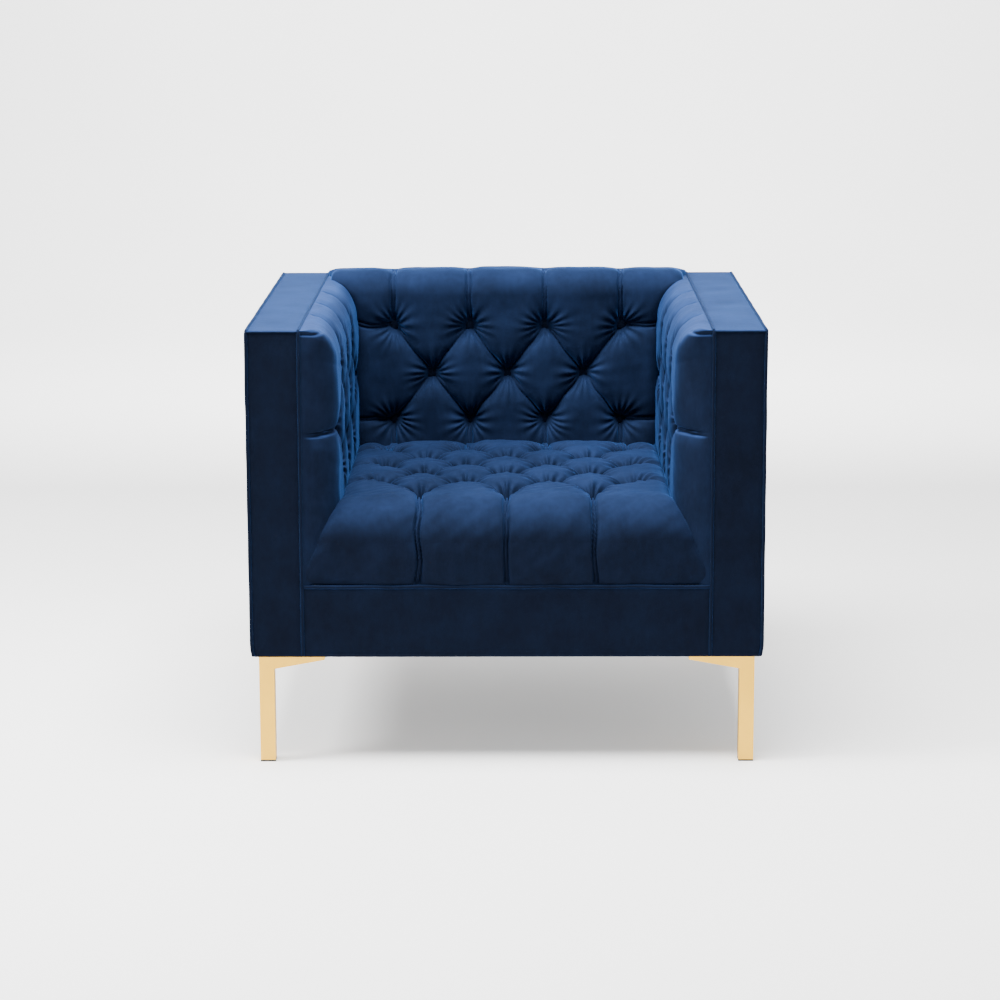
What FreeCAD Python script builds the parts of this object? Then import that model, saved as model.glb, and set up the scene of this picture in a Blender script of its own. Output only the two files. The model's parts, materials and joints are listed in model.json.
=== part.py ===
import FreeCAD, Part
import math
import os
import re
import Sketcher

# Diamond-tufted square armchair on metal corner legs, in millimetres.
# Origin: on the floor under the middle of the chair. +X is to the right as seen
# from the front, +Y points to the rear, +Z points up. "left" is the -X side.

Vector = FreeCAD.Vector
Rotation = FreeCAD.Rotation
Placement = FreeCAD.Placement
ALONG_X = Vector(1, 0, 0)
ALONG_Y = Vector(0, 1, 0)
UP = Vector(0, 0, 1)

# ---------------------------------------------------------------- driving sizes
DRIVING = {
    # overall
    "overall_width": 880,
    "overall_depth": 840,
    "arm_height": 755,
    "back_rise": 17,
    "leg_height": 190,
    "seat_height": 460,
    # arm, back and seat build-up
    "arm_box_width": 91,
    "arm_pad_thickness": 64,
    "arm_pad_round": 58,
    "arm_shoulder_round": 58,
    "back_thickness": 155,
    "back_crown_round": 45,
    "back_roll_drop": 17,
    "seat_seam_height": 313,
    "nose_round": 70,
    "cover_thickness": 2,
    "welt_diameter": 6,
    "welt_proud": 2,
    "welt_bend": 3.6,
    # timber frame
    "panel_thickness": 6,
    "rail_thickness": 35,
    "rail_height": 113,
    "low_rail_height": 60,
    "tack_rail_height": 50,
    "tack_rail_lift": 14,
    "front_post_depth": 45,
    "back_frame_depth": 40,
    "top_board_thickness": 22,
    "top_rail_height": 50,
    "seat_rail_setback": 5,
    "corner_block_side": 43,
    "dowel_diameter": 8,
    "dowel_length": 56,
    "dowel_margin": 10,
    "dowel_spacing": 20,
    "dust_cover_thickness": 1.5,
    # seat suspension
    "spring_wire": 4,
    "spring_spacing": 126,
    "spring_sweep": 54,
    "spring_pitch": 25,
    "clip_width": 14,
    "clip_thickness": 2,
    "insulator_thickness": 5,
    "edge_roll_diameter": 9,
    # tufting
    "seat_pitch_across": 150,
    "seat_pitch_deep": 85,
    "seat_first_row": 150,
    "back_pitch_across": 145,
    "back_pitch_up": 91,
    "back_top_row": 105,
    "arm_pitch_along": 162,
    "arm_first_tuft": 130,
    "button_diameter": 24,
    "button_height": 6,
    "tuft_depth": 25,
    "tuft_mouth": 60,
    "twine_diameter": 3,
    # legs
    "leg_section": 26,
    "leg_wall": 2,
    "leg_inset_side": 14,
    "leg_inset_end": 18,
    "wing_reach": 113,
    "wing_root": 25,
    "wing_tip": 9,
    "screw_diameter": 5,
    "screw_head": 10,
    "screw_head_height": 3,
    "screw_seat_depth": 7,
    "screw_length": 33,
    "glide_thickness": 3,
    "glide_plug": 12,
    # clearances
    "fit_gap": 0.3,
}
SPRING_COUNT = 5
SEAT_ROWS = 6

doc = FreeCAD.newDocument("tufted_armchair")
sizes = doc.addObject("Spreadsheet::Sheet", "sizes")
for row, (word, number) in enumerate(DRIVING.items(), start=1):
    sizes.set(f"A{row}", word)
    sizes.set(f"B{row}", str(number))
    sizes.setAlias(f"B{row}", word)
doc.recompute()
places = doc.addObject("App::FeaturePython", "places")


def formula(text):
    """Point every plain word of a formula at its cell or its derived place."""
    def owner(match):
        word = match.group(0)
        if word in DRIVING:
            return f"sizes.{word}"
        if word in places.PropertiesList:
            return f"places.{word}"
        return word
    return re.sub(r"[a-z][a-z_]*", owner, text)


def derive(name, text):
    """Keep a worked-out place as a property that follows the driving sizes."""
    places.addProperty("App::PropertyFloat", name)
    places.setExpression(name, formula(text))


# ---------------------------------------------------------------- derived places
# Faces of the covers; the welts stand proud of them by welt_proud.
derive("side_face", "overall_width / 2 - welt_proud")
derive("end_face", "overall_depth / 2 - welt_proud")
derive("top_face", "arm_height - welt_proud")
derive("welt_radius", "welt_diameter / 2")
derive("edge_x", "side_face + welt_proud - welt_radius")
derive("edge_y", "end_face + welt_proud - welt_radius")
derive("edge_z", "top_face + welt_proud - welt_radius")
derive("inner_line", "overall_width / 2 - arm_box_width")
# Timber frame: outer and inner faces across the arm, ends, bottom and top.
derive("frame_out", "side_face - cover_thickness - panel_thickness")
derive("frame_in", "inner_line + welt_radius")
derive("panel_in", "frame_in - panel_thickness")
derive("frame_front", "end_face - cover_thickness")
derive("frame_back", "end_face - cover_thickness - panel_thickness")
derive("frame_base", "leg_height + dust_cover_thickness")
derive("frame_top", "top_face - cover_thickness")
derive("board_under", "frame_top - top_board_thickness")
derive("post_rear", "-frame_front + front_post_depth")
derive("back_frame_face", "frame_back - back_frame_depth")
derive("back_panel_face", "back_frame_face - panel_thickness")
derive("rail_top", "frame_base + rail_height")
derive("side_rail_in", "frame_out - rail_thickness")
# Pads.
derive("arm_face", "inner_line - arm_pad_thickness")
derive("back_face", "overall_depth / 2 - back_thickness")
derive("pad_rear", "frame_front - fit_gap")
derive("deck", "seat_seam_height + welt_radius")
derive("back_crown", "arm_height + back_rise")
derive("seat_rail_front", "back_face + seat_rail_setback")
derive("tack_base", "deck + tack_rail_lift")
derive("top_rail_top", "board_under - fit_gap")
derive("roll_y", "welt_radius + fit_gap - edge_y + edge_roll_diameter / 2")
derive("cover_end", "edge_y - welt_radius - fit_gap")
derive("cover_rise", "edge_z - welt_radius - fit_gap")
# Legs.
derive("leg_corner_x", "overall_width / 2 - leg_inset_side")
derive("leg_corner_y", "overall_depth / 2 - leg_inset_end")
doc.recompute()


# ---------------------------------------------------------------- building tools
def box(name, across, along, upward):
    """A block from three spans, each a low and a high formula."""
    block = doc.addObject("Part::Box", name)
    spans = zip(("Length", "Width", "Height"), "xyz", (across, along, upward))
    for size, axis, (low, high) in spans:
        block.setExpression(size, formula(f"({high}) - ({low})"))
        block.setExpression(f"Placement.Base.{axis}", formula(low))
    return block


def cut(name, base, tool):
    piece = doc.addObject("Part::Cut", name)
    piece.Base = base
    piece.Tool = tool
    return piece


def group(name, solids):
    """Separate solids kept as one sub-part, or as one cutting tool."""
    piece = doc.addObject("Part::Feature", name)
    piece.Shape = Part.makeCompound(solids)
    piece.Placement = Placement()
    return piece


def on_side(side, span):
    """Mirror a span given for the right side when the piece is on the left."""
    low, high = span
    if side == "left":
        return f"-({high})", f"-({low})"
    return low, high


def outline_pad(body, name, plane, corners, base, height):
    """Pad a straight-sided outline, its corners given as pairs of formulas."""
    sketch = body.newObject("Sketcher::SketchObject", f"{name}_outline")
    face = next(item for item in body.Origin.OriginFeatures if item.Role == plane)
    sketch.AttachmentSupport = [(face, "")]
    sketch.MapMode = "FlatFace"
    sketch.setExpression("AttachmentOffset.Base.z", formula(base))
    read = doc.addObject("App::FeaturePython", f"{name}_corners")
    read.addProperty("App::PropertyFloatList", "numbers")
    points = []
    for index, corner in enumerate(corners):
        for axis, text in zip(("across", "upward"), corner):
            read.addProperty("App::PropertyFloat", f"{axis}_{index}")
            read.setExpression(f"{axis}_{index}", formula(text))
    read.recompute()
    for index in range(len(corners)):
        across = getattr(read, f"across_{index}")
        upward = getattr(read, f"upward_{index}")
        points.append(Vector(across, upward, 0))
    for start, end in zip(points, points[1:] + points[:1]):
        sketch.addGeometry(Part.LineSegment(start, end), False)
    last = len(points) - 1
    for index, corner in enumerate(corners):
        following = 0 if index == last else index + 1
        sketch.addConstraint(Sketcher.Constraint("Coincident", index, 2, following, 1))
    axis_lines = {"DistanceX": -2, "DistanceY": -1}
    for index, corner in enumerate(corners):
        numbers = (points[index].x, points[index].y)
        for kind, text, number in zip(axis_lines, corner, numbers):
            if text == "0":
                held = Sketcher.Constraint("PointOnObject", index, 1, axis_lines[kind])
                sketch.addConstraint(held)
                continue
            held = Sketcher.Constraint(kind, -1, 1, index, 1, number)
            slot = sketch.addConstraint(held)
            sketch.setExpression(f"Constraints[{slot}]", formula(text))
    doc.removeObject(read.Name)
    pad = body.newObject("PartDesign::Pad", f"{name}_pad")
    pad.Profile = sketch
    pad.setExpression("Length", formula(height))
    doc.recompute()
    return pad


def prism(name, plane, corners, base, height):
    body = doc.addObject("PartDesign::Body", name)
    outline_pad(body, name, plane, corners, base, height)
    return body


def edge_through(shape, point):
    """Name of the edge that a point lies on."""
    spot = Part.Vertex(point)
    for number, edge in enumerate(shape.Edges, start=1):
        if edge.distToShape(spot)[0] < 0.01:
            return f"Edge{number}"
    raise RuntimeError(f"no edge at {point}")


def round_edge(body, name, point, radius):
    """Round one edge of a body, found by a point on it."""
    solid = body.Tip
    fillet = body.newObject("PartDesign::Fillet", name)
    fillet.Base = (solid, [edge_through(solid.Shape, point)])
    fillet.setExpression("Radius", formula(radius))
    doc.recompute()


def rod(start, direction, length, diameter):
    return Part.makeCylinder(diameter / 2, length, start, direction)


def rounded_path(points, bend):
    """Straight runs through the points, joined by arcs at the square corners."""
    edges = []
    start = points[0]
    for before, corner, after in zip(points, points[1:], points[2:]):
        arriving = (corner - before).normalize()
        leaving = (after - corner).normalize()
        arc_start = corner - arriving * bend
        arc_end = corner + leaving * bend
        centre = arc_start + leaving * bend
        middle = centre + (corner - centre).normalize() * bend
        edges.append(Part.LineSegment(start, arc_start).toShape())
        edges.append(Part.Arc(arc_start, middle, arc_end).toShape())
        start = arc_end
    edges.append(Part.LineSegment(start, points[-1]).toShape())
    return Part.Wire(edges)


def tube(path, diameter):
    """A round bar swept along a path."""
    first = path.OrderedEdges[0]
    start = first.valueAt(first.FirstParameter)
    direction = first.tangentAt(first.FirstParameter)
    ring = Part.Wire([Part.Circle(start, direction, diameter / 2).toShape()])
    return path.makePipeShell([ring], True, False)


# ---------------------------------------------------------------- fasteners
def dowel(centre, direction, length):
    start = centre - direction * (length / 2)
    return rod(start, direction, length, sizes.dowel_diameter)


def frame_dowels():
    """Beech dowels at every rail end and under each arm top board."""
    pins = []
    long_pin = sizes.dowel_length
    short_pin = 2 * (sizes.top_board_thickness - 2)
    front_y = -places.frame_front + sizes.rail_thickness / 2
    back_y = places.frame_back - sizes.back_frame_depth / 2
    seat_rail_y = places.seat_rail_front + sizes.rail_thickness / 2
    cross_rails = [
        (places.frame_in, front_y, places.frame_base, sizes.rail_height),
        (places.frame_in, back_y, places.frame_base, sizes.low_rail_height),
        (places.frame_in, back_y, places.tack_base, sizes.tack_rail_height),
        (places.frame_in, back_y, places.top_rail_top - sizes.top_rail_height, sizes.top_rail_height),
        (places.side_rail_in, seat_rail_y, places.frame_base, sizes.rail_height),
    ]
    side_rail_x = places.frame_out - sizes.rail_thickness / 2
    tack_rail_x = places.frame_in + sizes.rail_thickness / 2
    top_pin_x = (places.frame_in + 2 * places.frame_out) / 3
    for side in (-1, 1):
        for rail_x, rail_y, base, height in cross_rails:
            upper = base + height - sizes.dowel_margin
            for level in (upper, upper - sizes.dowel_spacing):
                pins.append(dowel(Vector(side * rail_x, rail_y, level), ALONG_X, long_pin))
        for rail_end in (places.post_rear, places.back_frame_face):
            middle = places.frame_base + sizes.rail_height / 2
            for level in (middle, middle + sizes.dowel_spacing):
                pins.append(dowel(Vector(side * side_rail_x, rail_end, level), ALONG_Y, long_pin))
            level = places.tack_base + sizes.dowel_margin
            pins.append(dowel(Vector(side * tack_rail_x, rail_end, level), ALONG_Y, long_pin))
        for post_y in (-places.frame_front + sizes.front_post_depth / 2, back_y):
            pins.append(dowel(Vector(side * top_pin_x, post_y, places.board_under), UP, short_pin))
    return pins


def leg_spots():
    """Outer corner, turn and name of each leg; one leg turned fits all corners."""
    x = places.leg_corner_x
    y = places.leg_corner_y
    return {
        "front_left_leg": (Vector(-x, -y, 0), 0),
        "front_right_leg": (Vector(x, -y, 0), 90),
        "rear_right_leg": (Vector(x, y, 0), 180),
        "rear_left_leg": (Vector(-x, y, 0), 270),
    }


def wing_screw_spots():
    """Screw places on one leg, two on each wing, from the leg's outer corner."""
    free = sizes.wing_reach - sizes.leg_section
    middle = sizes.leg_section / 2
    spots = []
    for share in (0.4, 0.8):
        reach = sizes.leg_section + share * free
        spots += [Vector(reach, middle, 0), Vector(middle, reach, 0)]
    return spots


def leg_screw(spot):
    """Pan-head wood screw, its head recessed in the wing."""
    seat = sizes.leg_height - sizes.screw_seat_depth
    head_base = spot + UP * (seat - sizes.screw_head_height)
    head = rod(head_base, UP, sizes.screw_head_height, sizes.screw_head)
    shank = rod(spot + UP * seat, UP, sizes.screw_length, sizes.screw_diameter)
    return head.fuse(shank).removeSplitter()


def screw_hole(spot):
    """Stepped clearance hole for a leg screw."""
    seat = sizes.leg_height - sizes.screw_seat_depth
    clear = 2 * sizes.fit_gap
    below = seat - sizes.wing_root
    head_room = rod(spot + UP * below, UP, seat - below, sizes.screw_head + clear)
    shank_room = rod(spot + UP * seat, UP, sizes.screw_seat_depth + 1, sizes.screw_diameter + clear)
    return head_room.fuse(shank_room).removeSplitter()


screws = []
for corner, turn in leg_spots().values():
    for spot in wing_screw_spots():
        screw = leg_screw(spot)
        screw.Placement = Placement(corner, Rotation(UP, turn))
        screws.append(screw)
leg_screws = group("leg_screws", screws)
dowels = group("frame_dowels", frame_dowels())


def welt_rebates():
    """Rebates at the front rail's ends, where the inner piping passes."""
    depth = places.frame_front - places.edge_y + places.welt_radius + sizes.fit_gap
    width = 2 * places.welt_radius
    low = Vector(-places.frame_in, -places.frame_front, places.frame_base)
    rebate = Part.makeBox(width, depth, sizes.rail_height, low)
    opposite = low + ALONG_X * (2 * places.frame_in - width)
    return [rebate, Part.makeBox(width, depth, sizes.rail_height, opposite)]


joinery = group("joinery", leg_screws.Shape.Solids + dowels.Shape.Solids + welt_rebates())


def timber(name, across, along, upward):
    """A frame member with the holes and rebates that fall inside it."""
    return cut(name, box(f"{name}_blank", across, along, upward), joinery)


# ---------------------------------------------------------------- timber frame
nodes = ["leg_screws", "frame_dowels"]


def add(piece):
    nodes.append(piece.Label)
    return piece


between_posts = ("-frame_in", "frame_in")
rail_rise = ("frame_base", "rail_top")
tack_rise = ("tack_base", "tack_base + tack_rail_height")
back_frame = ("back_frame_face", "frame_back")
add(timber("front_rail", between_posts, ("-frame_front", "rail_thickness - frame_front"), rail_rise))
add(timber("rear_seat_rail", ("-side_rail_in", "side_rail_in"),
           ("seat_rail_front", "seat_rail_front + rail_thickness"), rail_rise))
add(timber("back_bottom_rail", between_posts, back_frame, ("frame_base", "frame_base + low_rail_height")))
add(timber("back_tack_rail", between_posts, back_frame, tack_rise))
add(timber("back_top_rail", between_posts, back_frame, ("top_rail_top - top_rail_height", "top_rail_top")))
for side in ("left", "right"):
    arm_box = on_side(side, ("frame_in", "frame_out"))
    between_ends = ("post_rear", "back_frame_face")
    post_rise = ("frame_base", "board_under")
    add(timber(f"{side}_front_post", arm_box, ("-frame_front", "post_rear"), post_rise))
    add(timber(f"{side}_rear_post", arm_box, back_frame, post_rise))
    add(timber(f"{side}_side_rail", on_side(side, ("side_rail_in", "frame_out")), between_ends, rail_rise))
    add(timber(f"{side}_arm_tack_rail", on_side(side, ("frame_in", "frame_in + rail_thickness")),
               between_ends, tack_rise))
    add(timber(f"{side}_arm_top_board", arm_box, ("-frame_front", "frame_front"),
               ("board_under", "frame_top")))
    add(box(f"{side}_inner_arm_panel", on_side(side, ("panel_in", "frame_in")),
            ("-cover_end", "back_panel_face"), ("deck", "cover_rise")))
    add(box(f"{side}_outer_arm_panel", on_side(side, ("frame_out", "frame_out + panel_thickness")),
            ("-cover_end", "frame_back"), ("frame_base", "cover_rise")))
add(box("inner_back_panel", between_posts, ("back_panel_face", "back_frame_face"),
        ("deck", "top_rail_top")))
add(box("outer_back_panel", ("-frame_out", "frame_out"), ("frame_back", "frame_front"),
        ("frame_base", "top_rail_top")))


def corner_blocks():
    """Glued blocks that brace each side rail against its posts."""
    leg = sizes.corner_block_side
    blocks = []
    for across in (-1, 1):
        for rail_end, inward in ((places.post_rear, 1), (places.back_frame_face, -1)):
            corner = Vector(across * places.side_rail_in, rail_end, places.frame_base)
            on_post = corner - Vector(across * leg, 0, 0)
            on_rail = corner + Vector(0, inward * leg, 0)
            face = Part.Face(Part.makePolygon([corner, on_post, on_rail, corner]))
            blocks.append(face.extrude(UP * sizes.low_rail_height))
    return blocks


add(group("corner_blocks", corner_blocks()))

# ---------------------------------------------------------------- seat suspension
spring_front = -places.frame_front + sizes.rail_thickness / 2
spring_rear = places.seat_rail_front + sizes.rail_thickness / 2
spring_level = places.rail_top + sizes.clip_thickness + sizes.spring_wire / 2


def zigzag_spring():
    """Flat sinuous spring from the front rail to the rear seat rail."""
    bends = round((spring_rear - spring_front) / sizes.spring_pitch)
    pitch = (spring_rear - spring_front) / bends
    reach = sizes.spring_sweep / 2 - pitch / 2
    edges = []
    heading = 1
    for bend in range(bends + 1):
        y = bend * pitch
        start = Vector(-heading * reach, y, 0)
        end = Vector(heading * reach, y, 0)
        edges.append(Part.LineSegment(start, end).toShape())
        if bend < bends:
            middle = Vector(heading * (reach + pitch / 2), y + pitch / 2, 0)
            edges.append(Part.Arc(end, middle, end + ALONG_Y * pitch).toShape())
        heading = -heading
    return tube(Part.Wire(edges), sizes.spring_wire)


spring_shape = zigzag_spring()
spring_places = [(count - (SPRING_COUNT - 1) / 2) * sizes.spring_spacing for count in range(SPRING_COUNT)]
for number, x in enumerate(spring_places, start=1):
    spring = doc.addObject("Part::Feature", f"seat_spring_{number}")
    spring.Shape = spring_shape
    spring.Placement = Placement(Vector(x, spring_front, spring_level), Rotation())
    add(spring)


def spring_clips():
    """Steel clips on both rails: a foot under the wire and a lip past its end."""
    clips = []
    lip = sizes.clip_thickness
    wire = sizes.spring_wire
    for x in spring_places:
        for y, outward in ((spring_front, -1), (spring_rear, 1)):
            low = Vector(x - sizes.clip_width / 2, y - wire, places.rail_top)
            foot = Part.makeBox(sizes.clip_width, 2 * wire, lip, low)
            lip_y = y + outward * (wire / 2 + lip / 2 + sizes.fit_gap)
            lip_low = Vector(low.x, lip_y - lip / 2, places.rail_top)
            clips.append(foot.fuse(Part.makeBox(sizes.clip_width, lip, lip + wire, lip_low)).removeSplitter())
    return clips


add(group("spring_clips", spring_clips()))
add(box("spring_insulator", ("cover_thickness - panel_in", "panel_in - cover_thickness"),
        ("roll_y + edge_roll_diameter / 2 + fit_gap", "seat_rail_front + rail_thickness"),
        ("deck - insulator_thickness - fit_gap", "deck - fit_gap")))
edge_roll = doc.addObject("Part::Cylinder", "edge_roll")
edge_roll.setExpression("Radius", formula("edge_roll_diameter / 2"))
edge_roll.setExpression("Height", formula("2 * panel_in - 2 * cover_thickness"))
edge_roll.Placement = Placement(Vector(), Rotation(ALONG_Y, 90))
edge_roll.setExpression("Placement.Base.x", formula("cover_thickness - panel_in"))
edge_roll.setExpression("Placement.Base.y", formula("roll_y"))
edge_roll.setExpression("Placement.Base.z", formula("rail_top + edge_roll_diameter / 2"))
add(edge_roll)
doc.recompute()


# ---------------------------------------------------------------- tufting
def staggered(count, pitch):
    """Places of one row of tufts, centred on the middle."""
    return [(index - (count - 1) / 2) * pitch for index in range(count)]


def seat_tufts():
    """Rows of three and four across the seat, from the front row to the rear."""
    points = []
    for row in range(SEAT_ROWS):
        y = -sizes.overall_depth / 2 + sizes.seat_first_row + row * sizes.seat_pitch_deep
        for x in staggered(3 + row % 2, sizes.seat_pitch_across):
            points.append(Vector(x, y, sizes.seat_height))
    return points


def back_tufts():
    """Rows of four, three and four, from the top row down."""
    points = []
    for row, count in enumerate((4, 3, 4)):
        z = places.back_crown - sizes.back_top_row - row * sizes.back_pitch_up
        for x in staggered(count, sizes.back_pitch_across):
            points.append(Vector(x, places.back_face, z))
    return points


def arm_tufts(across):
    """Rows of three, four and three, level with the rows of the back."""
    points = []
    first = -sizes.overall_depth / 2 + sizes.arm_first_tuft
    for row, count in enumerate((3, 4, 3)):
        z = places.back_crown - sizes.back_top_row - row * sizes.back_pitch_up
        indent = 0 if count == 4 else sizes.arm_pitch_along / 2
        for index in range(count):
            y = first + indent + index * sizes.arm_pitch_along
            points.append(Vector(across * places.arm_face, y, z))
    return points


# Turns that take +Z, the way out of a tuft, to the way out of each pad.
OUT_OF_SEAT = Rotation()
OUT_OF_BACK = Rotation(ALONG_X, 90)
OUT_OF_LEFT_ARM = Rotation(ALONG_Y, 90)
OUT_OF_RIGHT_ARM = Rotation(ALONG_Y, -90)


def tuft_room(name, points, turn, depth, inset, clearance):
    """Cone-shaped tufts with their twine holes, as one cutting tool."""
    floor_radius = sizes.button_diameter / 2 + 1 + inset
    mouth_radius = sizes.tuft_mouth / 2 + inset
    floor_level = -sizes.tuft_depth - inset
    hole = sizes.twine_diameter + 2 * clearance
    cone = Part.makeCone(floor_radius, mouth_radius, 1 - floor_level, UP * floor_level)
    room = cone.fuse(rod(UP * (-depth - 1), UP, depth + floor_level + 2, hole)).removeSplitter()
    rooms = []
    for point in points:
        placed = room.copy()
        placed.Placement = Placement(point, turn)
        rooms.append(placed)
    return group(name, rooms)


def buttons(name, points, turn, depth):
    """Covered buttons, each with the twine that pulls it into the pad."""
    radius = sizes.button_diameter / 2
    height = sizes.button_height
    base = sizes.fit_gap - sizes.tuft_depth
    curve = (radius * radius + height * height) / (2 * height)
    low_latitude = math.degrees(math.asin((curve - height) / curve))
    dome = Part.makeSphere(curve, UP * (base + height - curve), UP, low_latitude, 90, 360)
    button = dome.fuse(rod(UP * -depth, UP, depth + base + 1, sizes.twine_diameter)).removeSplitter()
    placed = []
    for point in points:
        copy = button.copy()
        copy.Placement = Placement(point, turn)
        placed.append(copy)
    return group(name, placed)


def tufted_pad(foam_name, cover_name, outer, core, tufts, turn, depth):
    """Foam with its tuft holes, and the fitted cover drawn into them."""
    wide = tuft_room(f"{foam_name}_tufts", tufts, turn, depth, sizes.cover_thickness, sizes.fit_gap)
    narrow = tuft_room(f"{cover_name}_tufts", tufts, turn, depth, 0, 2 * sizes.fit_gap)
    foam = add(cut(foam_name, core, wide))
    pitted = cut(f"{cover_name}_pitted", outer, narrow)
    add(cut(cover_name, pitted, foam))


# ---------------------------------------------------------------- arm pads
def arm_block(name, side, inset, height_low):
    """Pad beside the seat: round at its front and over its top inner edge."""
    sign = "-" if side == "left" else ""
    face = f"{sign}(arm_face + {inset})"
    rear_of_pad = f"{sign}panel_in"
    front = f"{inset} - end_face"
    rear = f"pad_rear - {inset}"
    corners = [(face, front), (rear_of_pad, front), (rear_of_pad, rear), (face, rear)]
    body = prism(name, "XY_Plane", corners, height_low, f"top_face - {inset} - {height_low}")
    step = sizes.cover_thickness if inset == "cover_thickness" else 0
    across = -1 if side == "left" else 1
    face_x = across * (places.arm_face + step)
    front_y = step - places.end_face
    top = places.top_face - step
    low = Vector(face_x, front_y, places.deck + 1)
    round_edge(body, f"{name}_front_round", low, f"arm_pad_round - {inset}")
    shoulder = Vector(face_x, 0, top)
    round_edge(body, f"{name}_shoulder", shoulder, f"arm_shoulder_round - {inset}")
    frame_room = box(f"{name}_frame_room", on_side(side, ("arm_face - 1", "panel_in + 1")),
                     (f"back_panel_face - fit_gap - {inset}", "end_face"), ("deck - 1", "board_under"))
    return cut(f"{name}_clear_of_frame", body, frame_room)


arm_depth = places.panel_in - places.arm_face
for side, across, turn in (("left", -1, OUT_OF_LEFT_ARM), ("right", 1, OUT_OF_RIGHT_ARM)):
    outer = arm_block(f"{side}_arm_pad_form", side, "0", "deck")
    core = arm_block(f"{side}_arm_core", side, "cover_thickness", "deck")
    tufted_pad(f"{side}_arm_foam", f"{side}_inside_arm_cover", outer, core,
               arm_tufts(across), turn, arm_depth)


# ---------------------------------------------------------------- back pad
def back_block(name, inset):
    """Pad between the arms, rolled over the top rail to the rear edge."""
    front = f"back_face + {inset}"
    top = f"back_crown - {inset}"
    rear = f"pad_rear - {inset}"
    roll_end = f"back_crown - back_roll_drop - {inset}"
    level_end = "back_panel_face"
    corners = [(front, "deck"), (front, top), (level_end, top), (rear, roll_end),
               (rear, "board_under"), (level_end, "board_under"), (level_end, "deck")]
    half = f"arm_face - fit_gap - {inset}"
    body = prism(name, "YZ_Plane", corners, f"-({half})", f"2 * ({half})")
    step = sizes.cover_thickness if inset == "cover_thickness" else 0
    crown_edge = Vector(0, places.back_face + step, places.back_crown - step)
    round_edge(body, f"{name}_crown", crown_edge, f"back_crown_round - {inset}")
    return body


tufted_pad("back_foam", "inside_back_cover", back_block("back_pad_form", "0"),
           back_block("back_core", "cover_thickness"), back_tufts(), OUT_OF_BACK,
           places.back_panel_face - places.back_face)


# ---------------------------------------------------------------- seat
def seat_block(name, inset):
    """Seat with a rounded nose; its front corners wrap round the arm pads."""
    front = f"{inset} - end_face"
    top = f"seat_height - {inset}"
    rear = f"back_face - fit_gap - {inset}"
    half = f"panel_in - {inset}"
    corners = [(front, "deck"), (front, top), (rear, top), (rear, "deck")]
    body = prism(name, "YZ_Plane", corners, f"-({half})", f"2 * ({half})")
    step = sizes.cover_thickness if inset == "cover_thickness" else 0
    nose_edge = Vector(0, step - places.end_face, sizes.seat_height - step)
    round_edge(body, f"{name}_nose", nose_edge, f"nose_round - {inset}")
    shaped = body
    for side in ("left", "right"):
        sign = "-" if side == "left" else ""
        across = -1 if side == "left" else 1
        clear = sizes.fit_gap + step
        margin = f"(fit_gap + {inset})"
        room_x = f"{sign}(arm_face - {margin})"
        far_x = f"{sign}(panel_in + 1)"
        room_y = f"-end_face - {margin}"
        corners = [(room_x, room_y), (far_x, room_y), (far_x, "back_face + 1"), (room_x, "back_face + 1")]
        room = prism(f"{name}_{side}_arm_room", "XY_Plane", corners, "deck - 1", "seat_height - deck + 2")
        corner = Vector(across * (places.arm_face - clear), -places.end_face - clear, places.deck)
        round_edge(room, f"{name}_{side}_arm_round", corner, f"arm_pad_round + {margin}")
        shaped = cut(f"{name}_clear_of_{side}_arm", shaped, room)
    return shaped


tufted_pad("seat_foam", "seat_cover", seat_block("seat_form", "0"), seat_block("seat_core", "cover_thickness"),
           seat_tufts(), OUT_OF_SEAT, sizes.seat_height - places.deck)

# ---------------------------------------------------------------- flat covers
front_skin = ("-end_face", "-frame_front")
rear_skin = ("frame_front", "end_face")
for side in ("left", "right"):
    facing_span = on_side(side, ("frame_in", "edge_x - welt_radius"))
    add(box(f"{side}_arm_facing", facing_span, front_skin, ("leg_height", "frame_top")))
    add(box(f"{side}_arm_top_band", facing_span, ("-end_face", "end_face"), ("frame_top", "top_face")))
    add(box(f"{side}_outside_arm_cover", on_side(side, ("side_face - cover_thickness", "side_face")),
            ("-cover_end", "cover_end"), ("leg_height", "cover_rise")))
add(box("front_border", ("-panel_in", "panel_in"), front_skin,
        ("leg_height", "seat_seam_height - welt_radius")))
add(box("outside_back_cover", ("welt_radius - edge_x", "edge_x - welt_radius"), rear_skin,
        ("leg_height", "frame_top")))
dust_sheet = box("dust_cover_blank", ("cover_thickness + fit_gap - side_face", "side_face - cover_thickness - fit_gap"),
                 ("fit_gap - frame_front", "frame_front - fit_gap"), ("leg_height", "frame_base"))
add(cut("dust_cover", dust_sheet, leg_screws))


# ---------------------------------------------------------------- welts
def outer_welts():
    """Piping up the front edge, along the arm top and down the rear edge."""
    foot = places.frame_base + sizes.fit_gap
    welts = []
    for across in (-1, 1):
        x = across * places.edge_x
        route = [Vector(x, -places.edge_y, foot), Vector(x, -places.edge_y, places.edge_z),
                 Vector(x, places.edge_y, places.edge_z), Vector(x, places.edge_y, foot)]
        welts.append(tube(rounded_path(route, sizes.welt_bend), sizes.welt_diameter))
    return welts


def inner_welts():
    """Piping between facing and pad, on along the arm top to the rear."""
    foot = places.frame_base + sizes.fit_gap
    welts = []
    for across in (-1, 1):
        x = across * places.inner_line
        route = [Vector(x, -places.edge_y, foot), Vector(x, -places.edge_y, places.edge_z),
                 Vector(x, places.pad_rear, places.edge_z)]
        welts.append(tube(rounded_path(route, sizes.welt_bend), sizes.welt_diameter))
    return welts


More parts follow.
